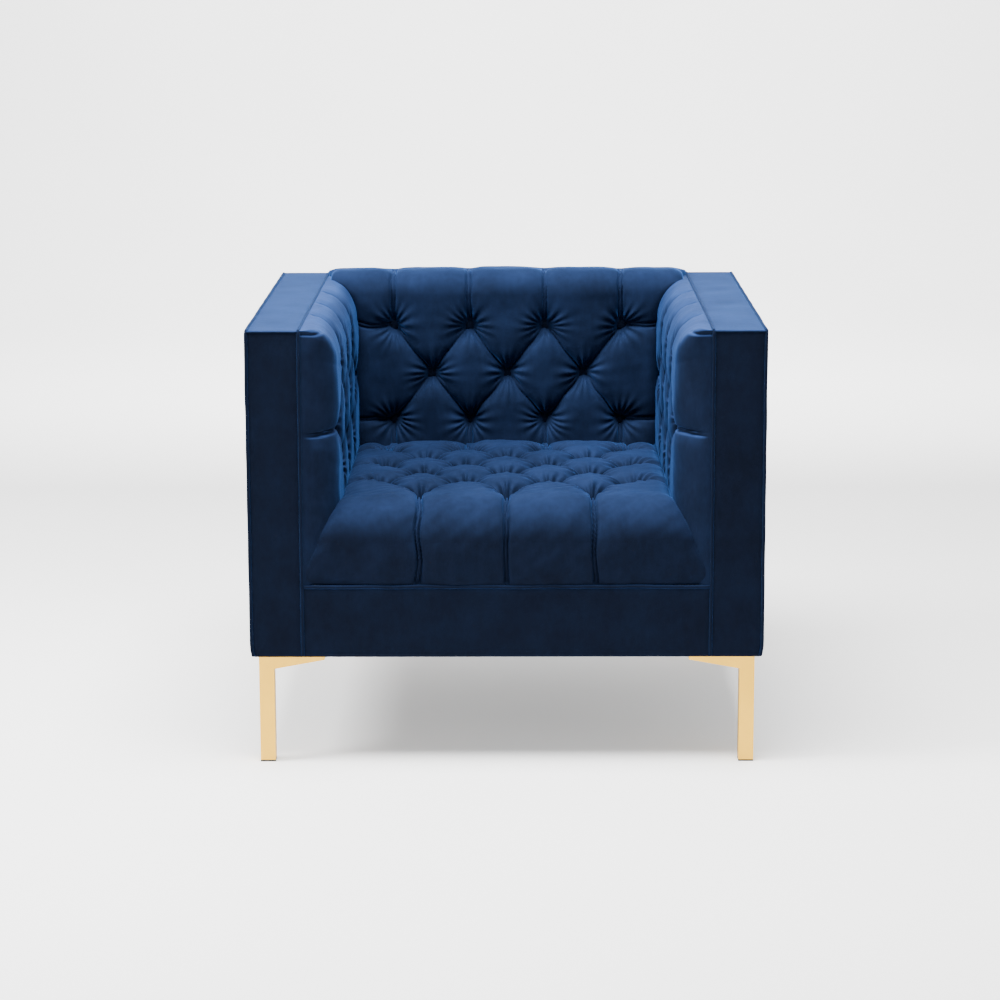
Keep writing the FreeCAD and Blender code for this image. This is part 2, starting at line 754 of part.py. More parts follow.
add(group("outer_welts", outer_welts()))
add(group("inner_welts", inner_welts()))
seat_welt = doc.addObject("Part::Cylinder", "seat_welt")
seat_welt.setExpression("Radius", formula("welt_radius"))
seat_welt.setExpression("Height", formula("2 * panel_in"))
seat_welt.Placement = Placement(Vector(), Rotation(ALONG_Y, 90))
seat_welt.setExpression("Placement.Base.x", formula("-panel_in"))
seat_welt.setExpression("Placement.Base.y", formula("-edge_y"))
seat_welt.setExpression("Placement.Base.z", formula("seat_seam_height"))
add(seat_welt)

# ---------------------------------------------------------------- buttons
add(buttons("seat_buttons", seat_tufts(), OUT_OF_SEAT, sizes.seat_height - places.deck))
add(buttons("back_buttons", back_tufts(), OUT_OF_BACK, places.back_panel_face - places.back_face))
left_buttons = buttons("left_arm_button_set", arm_tufts(-1), OUT_OF_LEFT_ARM, arm_depth)
right_buttons = buttons("right_arm_button_set", arm_tufts(1), OUT_OF_RIGHT_ARM, arm_depth)
add(group("arm_buttons", left_buttons.Shape.Solids + right_buttons.Shape.Solids))


# ---------------------------------------------------------------- legs
def leg(name, corner, turn):
    """Square tube upright with two tapered wings that screw to the frame."""
    body = doc.addObject("PartDesign::Body", f"{name}_weldment")
    profile = [("0", "glide_thickness"), ("leg_section", "glide_thickness"),
               ("leg_section", "leg_height - wing_root"), ("wing_reach", "leg_height - wing_tip"),
               ("wing_reach", "leg_height"), ("0", "leg_height")]
    outline_pad(body, f"{name}_side_wing", "XZ_Plane", profile, "-leg_section", "leg_section")
    outline_pad(body, f"{name}_end_wing", "YZ_Plane", profile, "0", "leg_section")
    bore = body.newObject("Sketcher::SketchObject", f"{name}_bore_outline")
    floor_plane = next(item for item in body.Origin.OriginFeatures if item.Role == "XY_Plane")
    bore.AttachmentSupport = [(floor_plane, "")]
    bore.MapMode = "FlatFace"
    near = sizes.leg_wall
    far = sizes.leg_section - sizes.leg_wall
    ring = [Vector(near, near, 0), Vector(far, near, 0), Vector(far, far, 0), Vector(near, far, 0)]
    for start, end in zip(ring, ring[1:] + ring[:1]):
        bore.addGeometry(Part.LineSegment(start, end), False)
    for index in range(4):
        bore.addConstraint(Sketcher.Constraint("Coincident", index, 2, (index + 1) % 4, 1))
    for index, direction in enumerate(("Horizontal", "Vertical", "Horizontal", "Vertical")):
        bore.addConstraint(Sketcher.Constraint(direction, index))
    for kind, point, text in (("DistanceX", 0, "leg_wall"), ("DistanceY", 0, "leg_wall"),
                              ("DistanceX", 2, "leg_section - leg_wall"),
                              ("DistanceY", 2, "leg_section - leg_wall")):
        number = near if point == 0 else far
        slot = bore.addConstraint(Sketcher.Constraint(kind, -1, 1, point, 1, number))
        bore.setExpression(f"Constraints[{slot}]", formula(text))
    before = body.Shape.Volume
    pocket = body.newObject("PartDesign::Pocket", f"{name}_bore")
    pocket.Profile = bore
    pocket.Reversed = True
    pocket.setExpression("Length", formula("leg_height - wing_tip"))
    doc.recompute()
    if body.Shape.Volume >= before:
        raise RuntimeError(f"the bore of {name} cut nothing")
    holes = group(f"{name}_holes", [screw_hole(spot) for spot in wing_screw_spots()])
    piece = cut(name, body, holes)
    piece.Placement = Placement(corner, Rotation(UP, turn))
    return piece


def glides():
    """Plastic foot caps with plugs that push into the leg tubes."""
    caps = []
    side = sizes.leg_section
    plug_side = side - 2 * sizes.leg_wall - 2 * sizes.fit_gap
    plug_low = sizes.leg_wall + sizes.fit_gap
    for corner, turn in leg_spots().values():
        cap = Part.makeBox(side, side, sizes.glide_thickness)
        plug_corner = Vector(plug_low, plug_low, sizes.glide_thickness)
        cap = cap.fuse(Part.makeBox(plug_side, plug_side, sizes.glide_plug, plug_corner)).removeSplitter()
        cap.Placement = Placement(corner, Rotation(UP, turn))
        caps.append(cap)
    return caps


for leg_name, (corner, turn) in leg_spots().items():
    add(leg(leg_name, corner, turn))
add(group("foot_glides", glides()))

# ---------------------------------------------------------------- check and write
doc.recompute()
for item in doc.Objects:
    if {"Invalid", "Error"} & set(item.State):
        raise RuntimeError(f"{item.Label} failed: {item.State}")
os.makedirs("parts", exist_ok=True)
for node in nodes:
    shape = doc.getObjectsByLabel(node)[0].Shape
    if shape.isNull() or not shape.isValid() or not shape.Solids:
        raise RuntimeError(f"{node} has no valid solid")
for node in nodes:
    doc.getObjectsByLabel(node)[0].Shape.exportStep(f"parts/{node}.step")
print(len(nodes), "sub-parts written")
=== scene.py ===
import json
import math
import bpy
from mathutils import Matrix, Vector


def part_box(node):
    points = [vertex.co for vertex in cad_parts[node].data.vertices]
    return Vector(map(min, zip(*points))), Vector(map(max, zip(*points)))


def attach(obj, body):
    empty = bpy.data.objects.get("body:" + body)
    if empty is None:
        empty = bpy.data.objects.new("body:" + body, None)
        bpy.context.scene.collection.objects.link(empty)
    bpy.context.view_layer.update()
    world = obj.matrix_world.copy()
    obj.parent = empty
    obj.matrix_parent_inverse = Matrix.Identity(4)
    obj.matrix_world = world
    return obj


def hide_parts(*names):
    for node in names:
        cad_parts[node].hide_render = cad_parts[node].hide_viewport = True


bl_info = {
    "name": "Tufted velvet armchair",
    "version": (1, 0, 0),
    "blender": (4, 5, 0),
    "location": "View3D > Sidebar > Armchair",
    "description": "Dresses a square armchair frame in tufted velvet on metal corner legs",
    "category": "Add Mesh",
}

import bpy
import numpy as np
from mathutils import Vector

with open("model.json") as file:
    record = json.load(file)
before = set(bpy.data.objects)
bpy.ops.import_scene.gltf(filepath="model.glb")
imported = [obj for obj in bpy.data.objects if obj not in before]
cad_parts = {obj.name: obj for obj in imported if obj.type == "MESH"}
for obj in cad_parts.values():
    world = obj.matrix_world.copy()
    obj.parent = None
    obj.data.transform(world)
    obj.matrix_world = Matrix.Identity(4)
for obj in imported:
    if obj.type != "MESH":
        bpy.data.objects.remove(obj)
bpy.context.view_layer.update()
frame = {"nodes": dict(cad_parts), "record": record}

MM = 0.001
ROOT = "root"
QUARTER = math.pi / 2

# The tufting pattern of the frame: how many buttons each row has, and their places.
SEAT_ROWS = (3, 4, 3, 4, 3, 4)
SEAT_FIRST_ROW = -270 * MM
SEAT_ROW_PITCH = 85 * MM
SEAT_PITCH = 150 * MM
BACK_ROWS = (4, 3, 4)
BACK_PITCH = 145 * MM
ARM_ROWS = (3, 4, 3)
ARM_FIRST_BUTTON = 128 * MM
ARM_PITCH = 162 * MM
TOP_ROW = 667 * MM
ROW_DROP = 91 * MM

# The roundings of the pads.
NOSE_RADIUS = 70 * MM
BACK_RADIUS = 46 * MM
SHOULDER = 100 * MM
SHOULDER_WIDTH = 64 * MM
FRONT_ROUND = 62 * MM
BACK_FOOT = 405 * MM

# Places taken from the frame, in metres.
SEAT_LOW, SEAT_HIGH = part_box("seat_cover")
BACK_LOW, BACK_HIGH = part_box("inside_back_cover")
ARM_LOW, ARM_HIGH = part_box("right_inside_arm_cover")
FACING_LOW, FACING_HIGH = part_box("right_arm_facing")
BAND_LOW, BAND_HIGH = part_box("right_arm_top_band")
SIDE_LOW, SIDE_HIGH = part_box("right_outside_arm_cover")
BORDER_LOW, BORDER_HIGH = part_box("front_border")
REAR_LOW, REAR_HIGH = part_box("outside_back_cover")
OUTER_WELT_LOW, OUTER_WELT_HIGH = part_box("outer_welts")
INNER_WELT_LOW, INNER_WELT_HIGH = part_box("inner_welts")
SEAT_WELT_LOW, SEAT_WELT_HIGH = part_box("seat_welt")
PAD_INNER = ARM_LOW[0]
PAD_OUTER = ARM_HIGH[0]
FRONT = BORDER_LOW[1]
DECK = SEAT_LOW[2]
WELT_RADIUS = (SEAT_WELT_HIGH[2] - SEAT_WELT_LOW[2]) / 2


# ------------------------------------------------------------------ settings
def length(name, description, default):
    """A property that is a length in metres."""
    return bpy.props.FloatProperty(name=name, description=description, default=default, unit="LENGTH")


class PadSettings(bpy.types.PropertyGroup):
    """Sizes shared by the tufted pads."""

    grid: length("Grid", "Spacing of the pad's mesh", 2.1 * MM)
    tuft_depth: length("Tuft depth", "How far a button is pulled in", 33 * MM)
    crease_depth: length("Crease depth", "Depth midway between buttons", 12.5 * MM)
    pillow: length("Pillow", "Half width of the rounding beside a crease", 46 * MM)
    funnel: length("Funnel", "How quickly a tuft opens out", 23 * MM)
    fold: length("Fold", "Distance between the two lines of a pleat", 6.5 * MM)
    button: length("Button", "Diameter of a covered button", 24 * MM)


class ClothSettings(bpy.types.PropertyGroup):
    """Colours of the velvet and the other finishes."""

    velvet: bpy.props.StringProperty(
        name="Velvet", description="Colour looking into the pile, as sRGB hex", default="#070F20")
    sheen: bpy.props.StringProperty(
        name="Sheen", description="Colour of the pile tips, as sRGB hex", default="#4B88E6")
    gold: bpy.props.StringProperty(
        name="Leg metal", description="Colour of the plated legs, as sRGB hex", default="#E2B03C")


class StageSettings(bpy.types.PropertyGroup):
    """Camera and studio light."""

    camera_place: bpy.props.FloatVectorProperty(
        name="Camera", description="Place of the camera", subtype="XYZ",
        default=(0.0171, -5.2761, 1.4219))
    camera_turn: bpy.props.FloatVectorProperty(
        name="Turn", description="Turn of the camera", subtype="EULER",
        default=(math.radians(78.845), math.radians(0.15), math.radians(0.298)))
    lens: bpy.props.FloatProperty(
        name="Lens", description="Focal length in millimetres", default=105.2, unit="CAMERA")
    light: bpy.props.FloatProperty(name="Light", description="Strength of the studio light", default=2.2)


# ------------------------------------------------------------------ materials
def linear(hex_colour):
    """sRGB hex to linear RGBA."""
    channels = [int(hex_colour[start:start + 2], 16) / 255 for start in (1, 3, 5)]
    bent = [c / 12.92 if c <= 0.04045 else ((c + 0.055) / 1.055) ** 2.4 for c in channels]
    return (*bent, 1.0)


def add_node(tree, kind, settings=None, inputs=None):
    """Add a node, set its properties and fill or link its inputs."""
    item = tree.nodes.new(kind)
    for name, value in (settings or {}).items():
        setattr(item, name, value)
    for name, value in (inputs or {}).items():
        if isinstance(value, bpy.types.NodeSocket):
            tree.links.new(value, item.inputs[name])
        else:
            item.inputs[name].default_value = value
    return item


def new_material(name):
    """An empty node material with its output and a Principled shader."""
    material = bpy.data.materials.new(name)
    material.use_nodes = True
    tree = material.node_tree
    tree.nodes.clear()
    shader = add_node(tree, "ShaderNodeBsdfPrincipled")
    output = add_node(tree, "ShaderNodeOutputMaterial")
    tree.links.new(shader.outputs["BSDF"], output.inputs["Surface"])
    place = add_node(tree, "ShaderNodeTexCoord").outputs["Object"]
    return material, tree, shader, place


def noise(tree, place, size, detail=2.0, stretch=None):
    """Noise whose lumps are about size metres across."""
    if stretch:
        mapped = add_node(tree, "ShaderNodeMapping", inputs={"Vector": place, "Scale": stretch})
        place = mapped.outputs["Vector"]
    inputs = {"Vector": place, "Scale": 1 / size, "Detail": detail}
    return add_node(tree, "ShaderNodeTexNoise", inputs=inputs).outputs["Fac"]


def two_tone(tree, factor, low, high, start=0.3, end=0.7):
    """Blend between two colours over a stretch of a factor."""
    ramp = add_node(tree, "ShaderNodeValToRGB", inputs={"Fac": factor})
    ramp.color_ramp.elements[0].position = start
    ramp.color_ramp.elements[0].color = low
    ramp.color_ramp.elements[1].position = end
    ramp.color_ramp.elements[1].color = high
    return ramp.outputs["Color"]


def shade(colour, factor):
    """A linear colour made darker or lighter."""
    return tuple(c * factor for c in colour[:3]) + (1.0,)


def velvet_material(name, colour, sheen, painted_light_level=1.0, lift=1.0, shine=0.5):
    """Cut-pile velvet, woven and brushed: dark into the pile, bright blue along it.

    The pile lies differently in patches, so the colour drifts over a few centimetres.
    The colour is first scaled by a level per copy, painted light above 1 and painted shade below 1; cloth
    that faces up is then painted up to lift times lighter, as painted top light.
    """
    material, tree, shader, place = new_material(name)
    patches = noise(tree, place, 70 * MM, 3.0)
    nap = noise(tree, place, 9 * MM, 4.0, (1.0, 1.0, 0.45))
    pile = noise(tree, place, 1.6 * MM, 2.0)
    mixed = add_node(tree, "ShaderNodeMath", {"operation": "MULTIPLY_ADD"})
    tree.links.new(nap, mixed.inputs[0])
    mixed.inputs[1].default_value = 0.45
    tree.links.new(patches, mixed.inputs[2])
    # Painted light and shade: each copy of the velvet is scaled lighter or darker as a whole by its
    # level.
    colour = shade(colour, painted_light_level)
    tone = two_tone(tree, mixed.outputs["Value"], shade(colour, 0.75), shade(colour, 1.35), 0.5, 1.0)
    # Painted top light: the colour grows up to lift times lighter as the cloth faces up.
    facing = add_node(tree, "ShaderNodeTexCoord").outputs["Normal"]
    upward = add_node(tree, "ShaderNodeSeparateXYZ", inputs={"Vector": facing}).outputs["Z"]
    painted_top_light = add_node(tree, "ShaderNodeMapRange", {"interpolation_type": "SMOOTHSTEP"}, {
        "Value": upward, "From Min": 0.0, "From Max": 0.95, "To Min": 1.0, "To Max": lift})
    top_lit_colour = add_node(tree, "ShaderNodeVectorMath", {"operation": "SCALE"}, {
        "Vector": tone, "Scale": painted_top_light.outputs["Result"]})
    tree.links.new(top_lit_colour.outputs["Vector"], shader.inputs["Base Color"])
    shader.inputs["Roughness"].default_value = 0.85
    shader.inputs["Specular IOR Level"].default_value = 0.05
    shader.inputs["Sheen Weight"].default_value = shine
    shader.inputs["Sheen Roughness"].default_value = 0.36
    shader.inputs["Sheen Tint"].default_value = sheen
    brushed = add_node(tree, "ShaderNodeBump", inputs={
        "Height": nap, "Distance": 0.5 * MM, "Strength": 0.5})
    tufted = add_node(tree, "ShaderNodeBump", inputs={
        "Height": pile, "Distance": 0.35 * MM, "Strength": 0.6, "Normal": brushed.outputs["Normal"]})
    tree.links.new(tufted.outputs["Normal"], shader.inputs["Normal"])
    return material


def plain_material(name, low, high, marks, relief, rough, grain=None, span=(0.3, 0.7), metallic=0.0):
    """A two-tone surface: marks tint it, and they or a finer grain stand up from it.

    Marks and grain are a noise's size, detail and stretch; relief is a height and a strength.
    """
    material, tree, shader, place = new_material(name)
    tint = noise(tree, place, *marks)
    raised = noise(tree, place, *grain) if grain else tint
    tree.links.new(two_tone(tree, tint, low, high, *span), shader.inputs["Base Color"])
    shader.inputs["Roughness"].default_value = rough
    shader.inputs["Metallic"].default_value = metallic
    rubbed = add_node(tree, "ShaderNodeBump", inputs={
        "Height": raised, "Distance": relief[0], "Strength": relief[1]})
    tree.links.new(rubbed.outputs["Normal"], shader.inputs["Normal"])
    return material


def gold_material(name, colour):
    """Pale gold plated steel with a satin brushed face: soft, slightly streaked gloss."""
    material, tree, shader, place = new_material(name)
    brush = noise(tree, place, 0.8 * MM, 2.0, (1.0, 1.0, 0.03))
    cloud = noise(tree, place, 60 * MM, 2.0)
    tone = two_tone(tree, cloud, shade(colour, 0.93), colour)
    tree.links.new(tone, shader.inputs["Base Color"])
    shader.inputs["Metallic"].default_value = 1.0
    spread = add_node(tree, "ShaderNodeMapRange", inputs={
        "Value": brush, "To Min": 0.3, "To Max": 0.44})
    tree.links.new(spread.outputs["Result"], shader.inputs["Roughness"])
    brushed = add_node(tree, "ShaderNodeBump", inputs={
        "Height": brush, "Distance": 0.05 * MM, "Strength": 0.4})
    tree.links.new(brushed.outputs["Normal"], shader.inputs["Normal"])
    return material


def liner_material(name):
    """Spun-bonded polypropylene dust cloth: thin, black, embossed with small dots."""
    material, tree, shader, place = new_material(name)
    inputs = {"Vector": place, "Scale": 1 / (3 * MM)}
    dots = add_node(tree, "ShaderNodeTexVoronoi", {"feature": "F1"}, inputs).outputs["Distance"]
    tone = two_tone(tree, dots, linear("#0E0E10"), linear("#1C1C1F"), 0.1, 0.5)
    tree.links.new(tone, shader.inputs["Base Color"])
    shader.inputs["Roughness"].default_value = 0.7
    embossed = add_node(tree, "ShaderNodeBump", inputs={
        "Height": dots, "Distance": 0.2 * MM, "Strength": 0.7})
    tree.links.new(embossed.outputs["Normal"], shader.inputs["Normal"])
    return material


def floor_material():
    """Matt white studio paper that glows faintly, so the sweep stays pale and even."""
    material, tree, shader, place = new_material("studio paper")
    tone = two_tone(tree, noise(tree, place, 0.9), linear("#F4F4F4"), linear("#F8F8F8"))
    tree.links.new(tone, shader.inputs["Base Color"])
    shader.inputs["Roughness"].default_value = 0.9
    shader.inputs["Specular IOR Level"].default_value = 0.1
    shader.inputs["Emission Color"].default_value = (1.0, 1.0, 1.0, 1.0)
    shader.inputs["Emission Strength"].default_value = 0.35
    return material


MATERIALS = {}


def make_materials(cloth):
    """Every finish of the chair, by its slot's name in the record or the cloth's use."""
    velvet = linear(cloth.velvet)
    sheen = linear(cloth.sheen)
    steel = linear("#5A5C60")
    zinc = linear("#B8BAC0")
    fluff = (0.4 * MM, 0.6)
    rubbing = (0.05 * MM, 0.4)
    MATERIALS.update({
        # Stretched flat, as a copy painted darker: nearly black blue in front from painted shade, pale
        # along the arm tops from painted top light.
        "velvet": velvet_material("brushed velvet laid flat", velvet, sheen, 0.6, 7.5, 0.36),
        # Over soft wadding, as a copy painted a little darker: crowns painted bright by painted top
        # light, falling off into dark creases.
        "velvet_pad": velvet_material("brushed velvet over wadding", velvet, sheen, 0.75, 3.6, 0.26),
        # Bent over the arm, as a copy painted a little lighter: a shoulder made light by painted top
        # light, and quiet, dark inner faces.
        "velvet_arm": velvet_material("brushed velvet over the arm", velvet, sheen, 1.1, 6.5, 0.17),
        # Upright face of the back, as a copy painted lighter with painted light: a clear mid blue.
        "velvet_back": velvet_material("brushed velvet, painted lit", velvet, sheen, 1.7, 1.6, 0.55),
        # Cut on the bias round a cord, as a copy painted darker with painted shade along the seams: a
        # thin dark line with a faint light edge from the sheen and painted top light.
        "velvet_trim": velvet_material("bias-cut velvet", velvet, sheen, 0.7, 2.0, 0.32),
        # A warm, even metal with soft reflections.
        "leg_metal": gold_material("satin gold plate", linear(cloth.gold)),
        # Straight pale grain with short flecks, matt and unfinished.
        "timber": plain_material(
            "planed beech", linear("#A97C4F"), linear("#D9B48A"), (4 * MM, 4.0, (0.06, 1.0, 1.0)),
            (0.1 * MM, 0.5), 0.62, grain=(1.5 * MM, 1.0, (0.2, 1.0, 1.0))),
        # Brown board pressed from fibres, with a dull face.
        "panel": plain_material(
            "hardboard", linear("#5E452D"), linear("#8A6A48"), (2 * MM, 3.0), fluff, 0.6),
        # Cream foam with open cells.
        "foam": plain_material(
            "polyurethane foam", linear("#D8C893"), linear("#EFE3B8"), (1.5 * MM, 3.0), fluff, 0.9),
        # Grey mixed fibres matted together.
        "felt": plain_material(
            "needled felt", linear("#4E4B47"), linear("#8C8880"), (3 * MM, 3.0), fluff, 0.9),
        # Dark drawn wire with an oily gloss.
        "spring_steel": plain_material(
            "oil-tempered wire", shade(steel, 0.75), steel, (2 * MM, 3.0), rubbing, 0.35, metallic=1.0),
        # Bright grey plating with fine rubbing marks.
        "screw_steel": plain_material(
            "zinc-plated steel", shade(zinc, 0.75), zinc, (2 * MM, 3.0), rubbing, 0.3, metallic=1.0),
        # Dull black plastic, faintly grained and scuffed paler in spots.
        "glide_plastic": plain_material(
            "moulded polyethylene", linear("#161618"), linear("#2A2A2C"), (6 * MM, 4.0),
            (0.05 * MM, 0.5), 0.5, grain=(1 * MM,), span=(0.45, 0.8)),
        # Thin black cloth embossed with dots.
        "liner": liner_material("spun-bonded dust cloth"),
    })


# ------------------------------------------------------------------ mesh tools
def new_object(name, data):
    """An object that holds some data, in the scene."""
    item = bpy.data.objects.new(name, data)
    bpy.context.scene.collection.objects.link(item)
    return item


def mesh_object(name, points, faces, material):
    """A mesh piece at the origin, its place in its vertices."""
    mesh = bpy.data.meshes.new(name)
    mesh.from_pydata([tuple(p) for p in points], [], faces)
    mesh.validate()
    mesh.update()
    mesh.polygons.foreach_set("use_smooth", [True] * len(mesh.polygons))
    mesh.materials.append(MATERIALS[material])
    return new_object(name, mesh)


def finish_piece(piece, nodes=()):
    """Ride the one body and stand for CAD nodes."""
    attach(piece, ROOT)
    if nodes:
        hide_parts(*nodes)


def closed_loft(name, rings, material, flip=False):
    """Skin equal closed rings in order and cap both ends with fans."""
    count, around = rings.shape[:2]
    points = rings.reshape(-1, 3)
    index = np.arange(count * around).reshape(count, around)
    here = index[:-1]
    there = index[1:]
    corners = [here, np.roll(here, -1, 1), np.roll(there, -1, 1), there]
    faces = np.stack(corners, -1).reshape(-1, 4).tolist()
    middle_first = len(points)
    middle_last = middle_first + 1
    points = np.vstack([points, rings[0].mean(0), rings[-1].mean(0)])
    first = index[0].tolist()
    last = index[-1].tolist()
    for a, b in zip(first, first[1:] + first[:1]):
        faces.append([b, a, middle_first])
    for a, b in zip(last, last[1:] + last[:1]):
        faces.append([a, b, middle_last])
    if flip:
        faces = [face[::-1] for face in faces]
    return mesh_object(name, points, faces, material)


def ripple(a, b, seed, wave):
    """Smooth seeded unevenness between about -1 and 1."""
    draw = np.random.default_rng(seed)
    total = np.zeros_like(a)
    for _ in range(7):
        turn = draw.uniform(0, math.tau)
        length = wave * draw.uniform(0.6, 1.8)
        start = draw.uniform(0, math.tau)
        total += np.sin((a * math.cos(turn) + b * math.sin(turn)) * math.tau / length + start)
    return total / 3.2


def smooth_step(x, low, high):
    """Rise smoothly from 0 to 1 between low and high."""
    t = np.clip((x - low) / (high - low), 0, 1)
    return t * t * (3 - 2 * t)


# ------------------------------------------------------------------ tufting
def dent(side, width):
    """The cross-section of a sewn line, 1 deep, at a distance to its side."""
    return np.exp(-((side / width) ** 2))


def tuft_depths(a, b, tufts, creases, pleats, pads, seed, pillowed=1.0):
    """How far each place (a, b) of a pad sinks below its smooth form.

    Creases join two tufts and carry one folded line; pleats run from a tuft to an edge and carry two.
    """
    far = 9.0
    wander = 1.6 * MM
    a = a + wander * ripple(a, b, seed, 70 * MM)
    b = b + wander * ripple(a, b, seed + 1, 70 * MM)

    # The nearest button, and the bearing from it.
    near = np.full(a.shape, far)
    bearing = np.zeros(a.shape)
    nearest = np.zeros(a.shape, int)
    for number, (x, y) in enumerate(tufts):
        away = np.hypot(a - x, b - y)
        closer = away < near
        near = np.where(closer, away, near)
        bearing = np.where(closer, np.arctan2(b - y, a - x), bearing)
        nearest = np.where(closer, number, nearest)
    reach = np.maximum(near - pads.button / 2 + 4 * MM, 0)
    pull = np.exp(-((reach / pads.funnel) ** 1.25))

    # The nearest crease or pleat, and the sewn lines along each.
    to_crease = np.full(a.shape, far)
    weak = np.zeros(a.shape)
    grooves = np.zeros(a.shape)
    draw = np.random.default_rng(seed + 7)
    start, full = 6 * MM, 16 * MM
    for kind, lines in (("crease", creases), ("pleat", pleats)):
        for (x0, y0), (x1, y1) in lines:
            length = math.hypot(x1 - x0, y1 - y0)
            ux, uy = (x1 - x0) / length, (y1 - y0) / length
            along = (a - x0) * ux + (b - y0) * uy
            side = (b - y0) * ux - (a - x0) * uy
            share = np.clip(along / length, 0, 1)
            away = np.hypot(along - share * length, side)
            closer = away < to_crease
            to_crease = np.where(closer, away, to_crease)
            weak = np.where(closer, 0.0 if kind == "crease" else 1.0, weak)
            inside = smooth_step(along, start, full) * (along < length + 3 * MM)
            fold = pads.fold * draw.uniform(0.8, 1.15)
            if kind == "crease":
                inside = inside * smooth_step(length - along, start, full)
                second = draw.choice([-1, 1]) * fold
                fading = 0.55 + 0.45 * np.cos(share * math.tau)
                grooves += 3.6 * MM * inside * dent(side, 1.7 * MM)
                grooves += 3.2 * MM * inside * fading * dent(side - second, 1.6 * MM)
            else:
                fading = np.clip(1.2 - 0.35 * share, 0, 1)
                for offset in (-fold / 2, fold / 2):
                    grooves += 5.6 * MM * inside * fading * dent(side - offset, 1.6 * MM)
                grooves -= 1.3 * MM * inside * fading * dent(side, 2.2 * MM)

    # Round pillows between the creases, pulled into a funnel at each button.
    soft = np.sqrt(to_crease ** 2 + (1.2 * MM) ** 2)
    t = np.clip(soft / pads.pillow, 0, 1)
    valley = 1 - np.sqrt(1 - (1 - t) ** 2)
    middle = pads.crease_depth * (1 - 0.3 * weak)
    depth = (middle + (pads.tuft_depth - middle) * pull) * valley ** (1 - 0.72 * pull)

    # Small gathers that fan out from each button.
    twist = np.random.default_rng(seed + 3).uniform(0, math.tau, len(tufts))[nearest]
    gathers = np.sin(bearing * 15 + twist + 2.2 * np.sin(bearing * 2 + twist))
    fan = np.exp(-(np.maximum(near - 17 * MM, 0) / (20 * MM)) ** 1.4)
    gathered = 3.2 * MM * gathers * smooth_step(near, 11 * MM, 19 * MM) * fan
    slow = 0.8 * MM * ripple(a, b, seed + 5, 110 * MM)
    quick = 0.25 * MM * ripple(a, b, seed + 6, 32 * MM)
    return depth * pillowed + grooves + gathered + slow + quick


def grid_normals(points):
    """Outward normals of a surface grid, the second direction first."""
    along = np.gradient(points, axis=0)
    across = np.gradient(points, axis=1)
    normal = np.cross(along, across)
    size = np.linalg.norm(normal, axis=2, keepdims=True)
    return normal / np.maximum(size, 1e-9)


def joined(first, second):
    """Creases from each tuft of one row to its neighbours in the next."""
    lines = []
    pitch = abs(first[1][0] - first[0][0])
    for start in first:
        for end in second:
            if abs(start[0] - end[0]) < 0.75 * pitch:
                lines.append((start, end))
    return lines


BUTTON_SPOTS = []


def note_buttons(base, outward, a, b, tufts, depth):
    """Remember where each button sits: its place and the way it faces."""
    for x, y in tufts:
        row, column = np.unravel_index(np.argmin((a - x) ** 2 + (b - y) ** 2), a.shape)
        spot = base[row, column] - outward[row, column] * (depth - 2 * MM)
        BUTTON_SPOTS.append((spot, outward[row, column]))


def staggered(count, pitch):
    """Evenly spaced places about the middle."""
    return [(index - (count - 1) / 2) * pitch for index in range(count)]


def run_along(profile):
    """How far each place of a profile is from its start."""
    return np.concatenate([[0], np.cumsum(np.hypot(*np.diff(profile, axis=0).T))])


def upright_rows(profile, half, columns):
    """A surface grid from side to side along a profile (y, z), and the ways it faces."""
    share = np.linspace(-1, 1, columns)
    x = share[:, None] * half[None, :]
    y = np.broadcast_to(profile[:, 0], x.shape)
    z = np.broadcast_to(profile[:, 1], x.shape)
    outward = grid_normals(np.stack([np.broadcast_to(share[:, None], x.shape), y, z], -1))
    outward[..., 0] = 0
    return share, np.stack([x, y, z], -1), outward


def edge_drop(edge, fall, deepest):
    """A quarter-round fall towards an edge that is edge metres away."""
    inward = 1 - edge / fall
    rounded = 1 - np.sqrt(np.maximum(1 - inward ** 2, 0))
    return np.where(edge < fall, rounded * deepest, 0)


def closed_under(points, share, closing):
    """Close each ring of a pad through hidden points (y, z, half width)."""
    tail = np.zeros((len(share), len(closing), 3))
    for number, (y, z, width) in enumerate(closing):
        tail[:, number] = np.stack([share * width, np.full(len(share), y), np.full(len(share), z)], -1)
    return np.concatenate([points, tail], axis=1)


def finish_pad(name, rings, cloth, flip, nodes):
    """Skin a pad, ride the one body and stand for its CAD nodes."""
    pad = closed_loft(name, rings, cloth, flip)
    finish_piece(pad, nodes)


# ------------------------------------------------------------------ seat
def seat_profile(step):
    """The seat's middle line (y, z) from the front seam, over the nose, to the rear edge."""
    crown = SEAT_HIGH[2]
    nose_start = crown - NOSE_RADIUS
    front = []
    for z in np.arange(DECK, nose_start, step):
        lift = (z - DECK) / (nose_start - DECK)
        tuck = 5 * MM * math.exp(-(z - DECK) / (9 * MM))
        front.append((FRONT + tuck - 1.5 * MM * math.sin(math.pi * lift), z))
    nose = []
    for turn in np.linspace(0, QUARTER, int(NOSE_RADIUS * QUARTER / step), endpoint=False):
        y = FRONT + NOSE_RADIUS - NOSE_RADIUS * math.cos(turn)
        nose.append((y, nose_start + NOSE_RADIUS * math.sin(turn)))
    top = []
    flat_start = FRONT + NOSE_RADIUS
    rear = BACK_LOW[1] + 4 * MM
    rounding = 85 * MM
    for y in np.arange(flat_start, rear, step):
        share = (y - flat_start) / (rear - flat_start)
        settle = 15 * MM * (max(y - rear + rounding, 0) / rounding) ** 2
        top.append((y, crown + 2 * MM * math.sin(math.pi * share) - 8 * MM * share - settle))
    return np.array(front + nose + top), len(front)


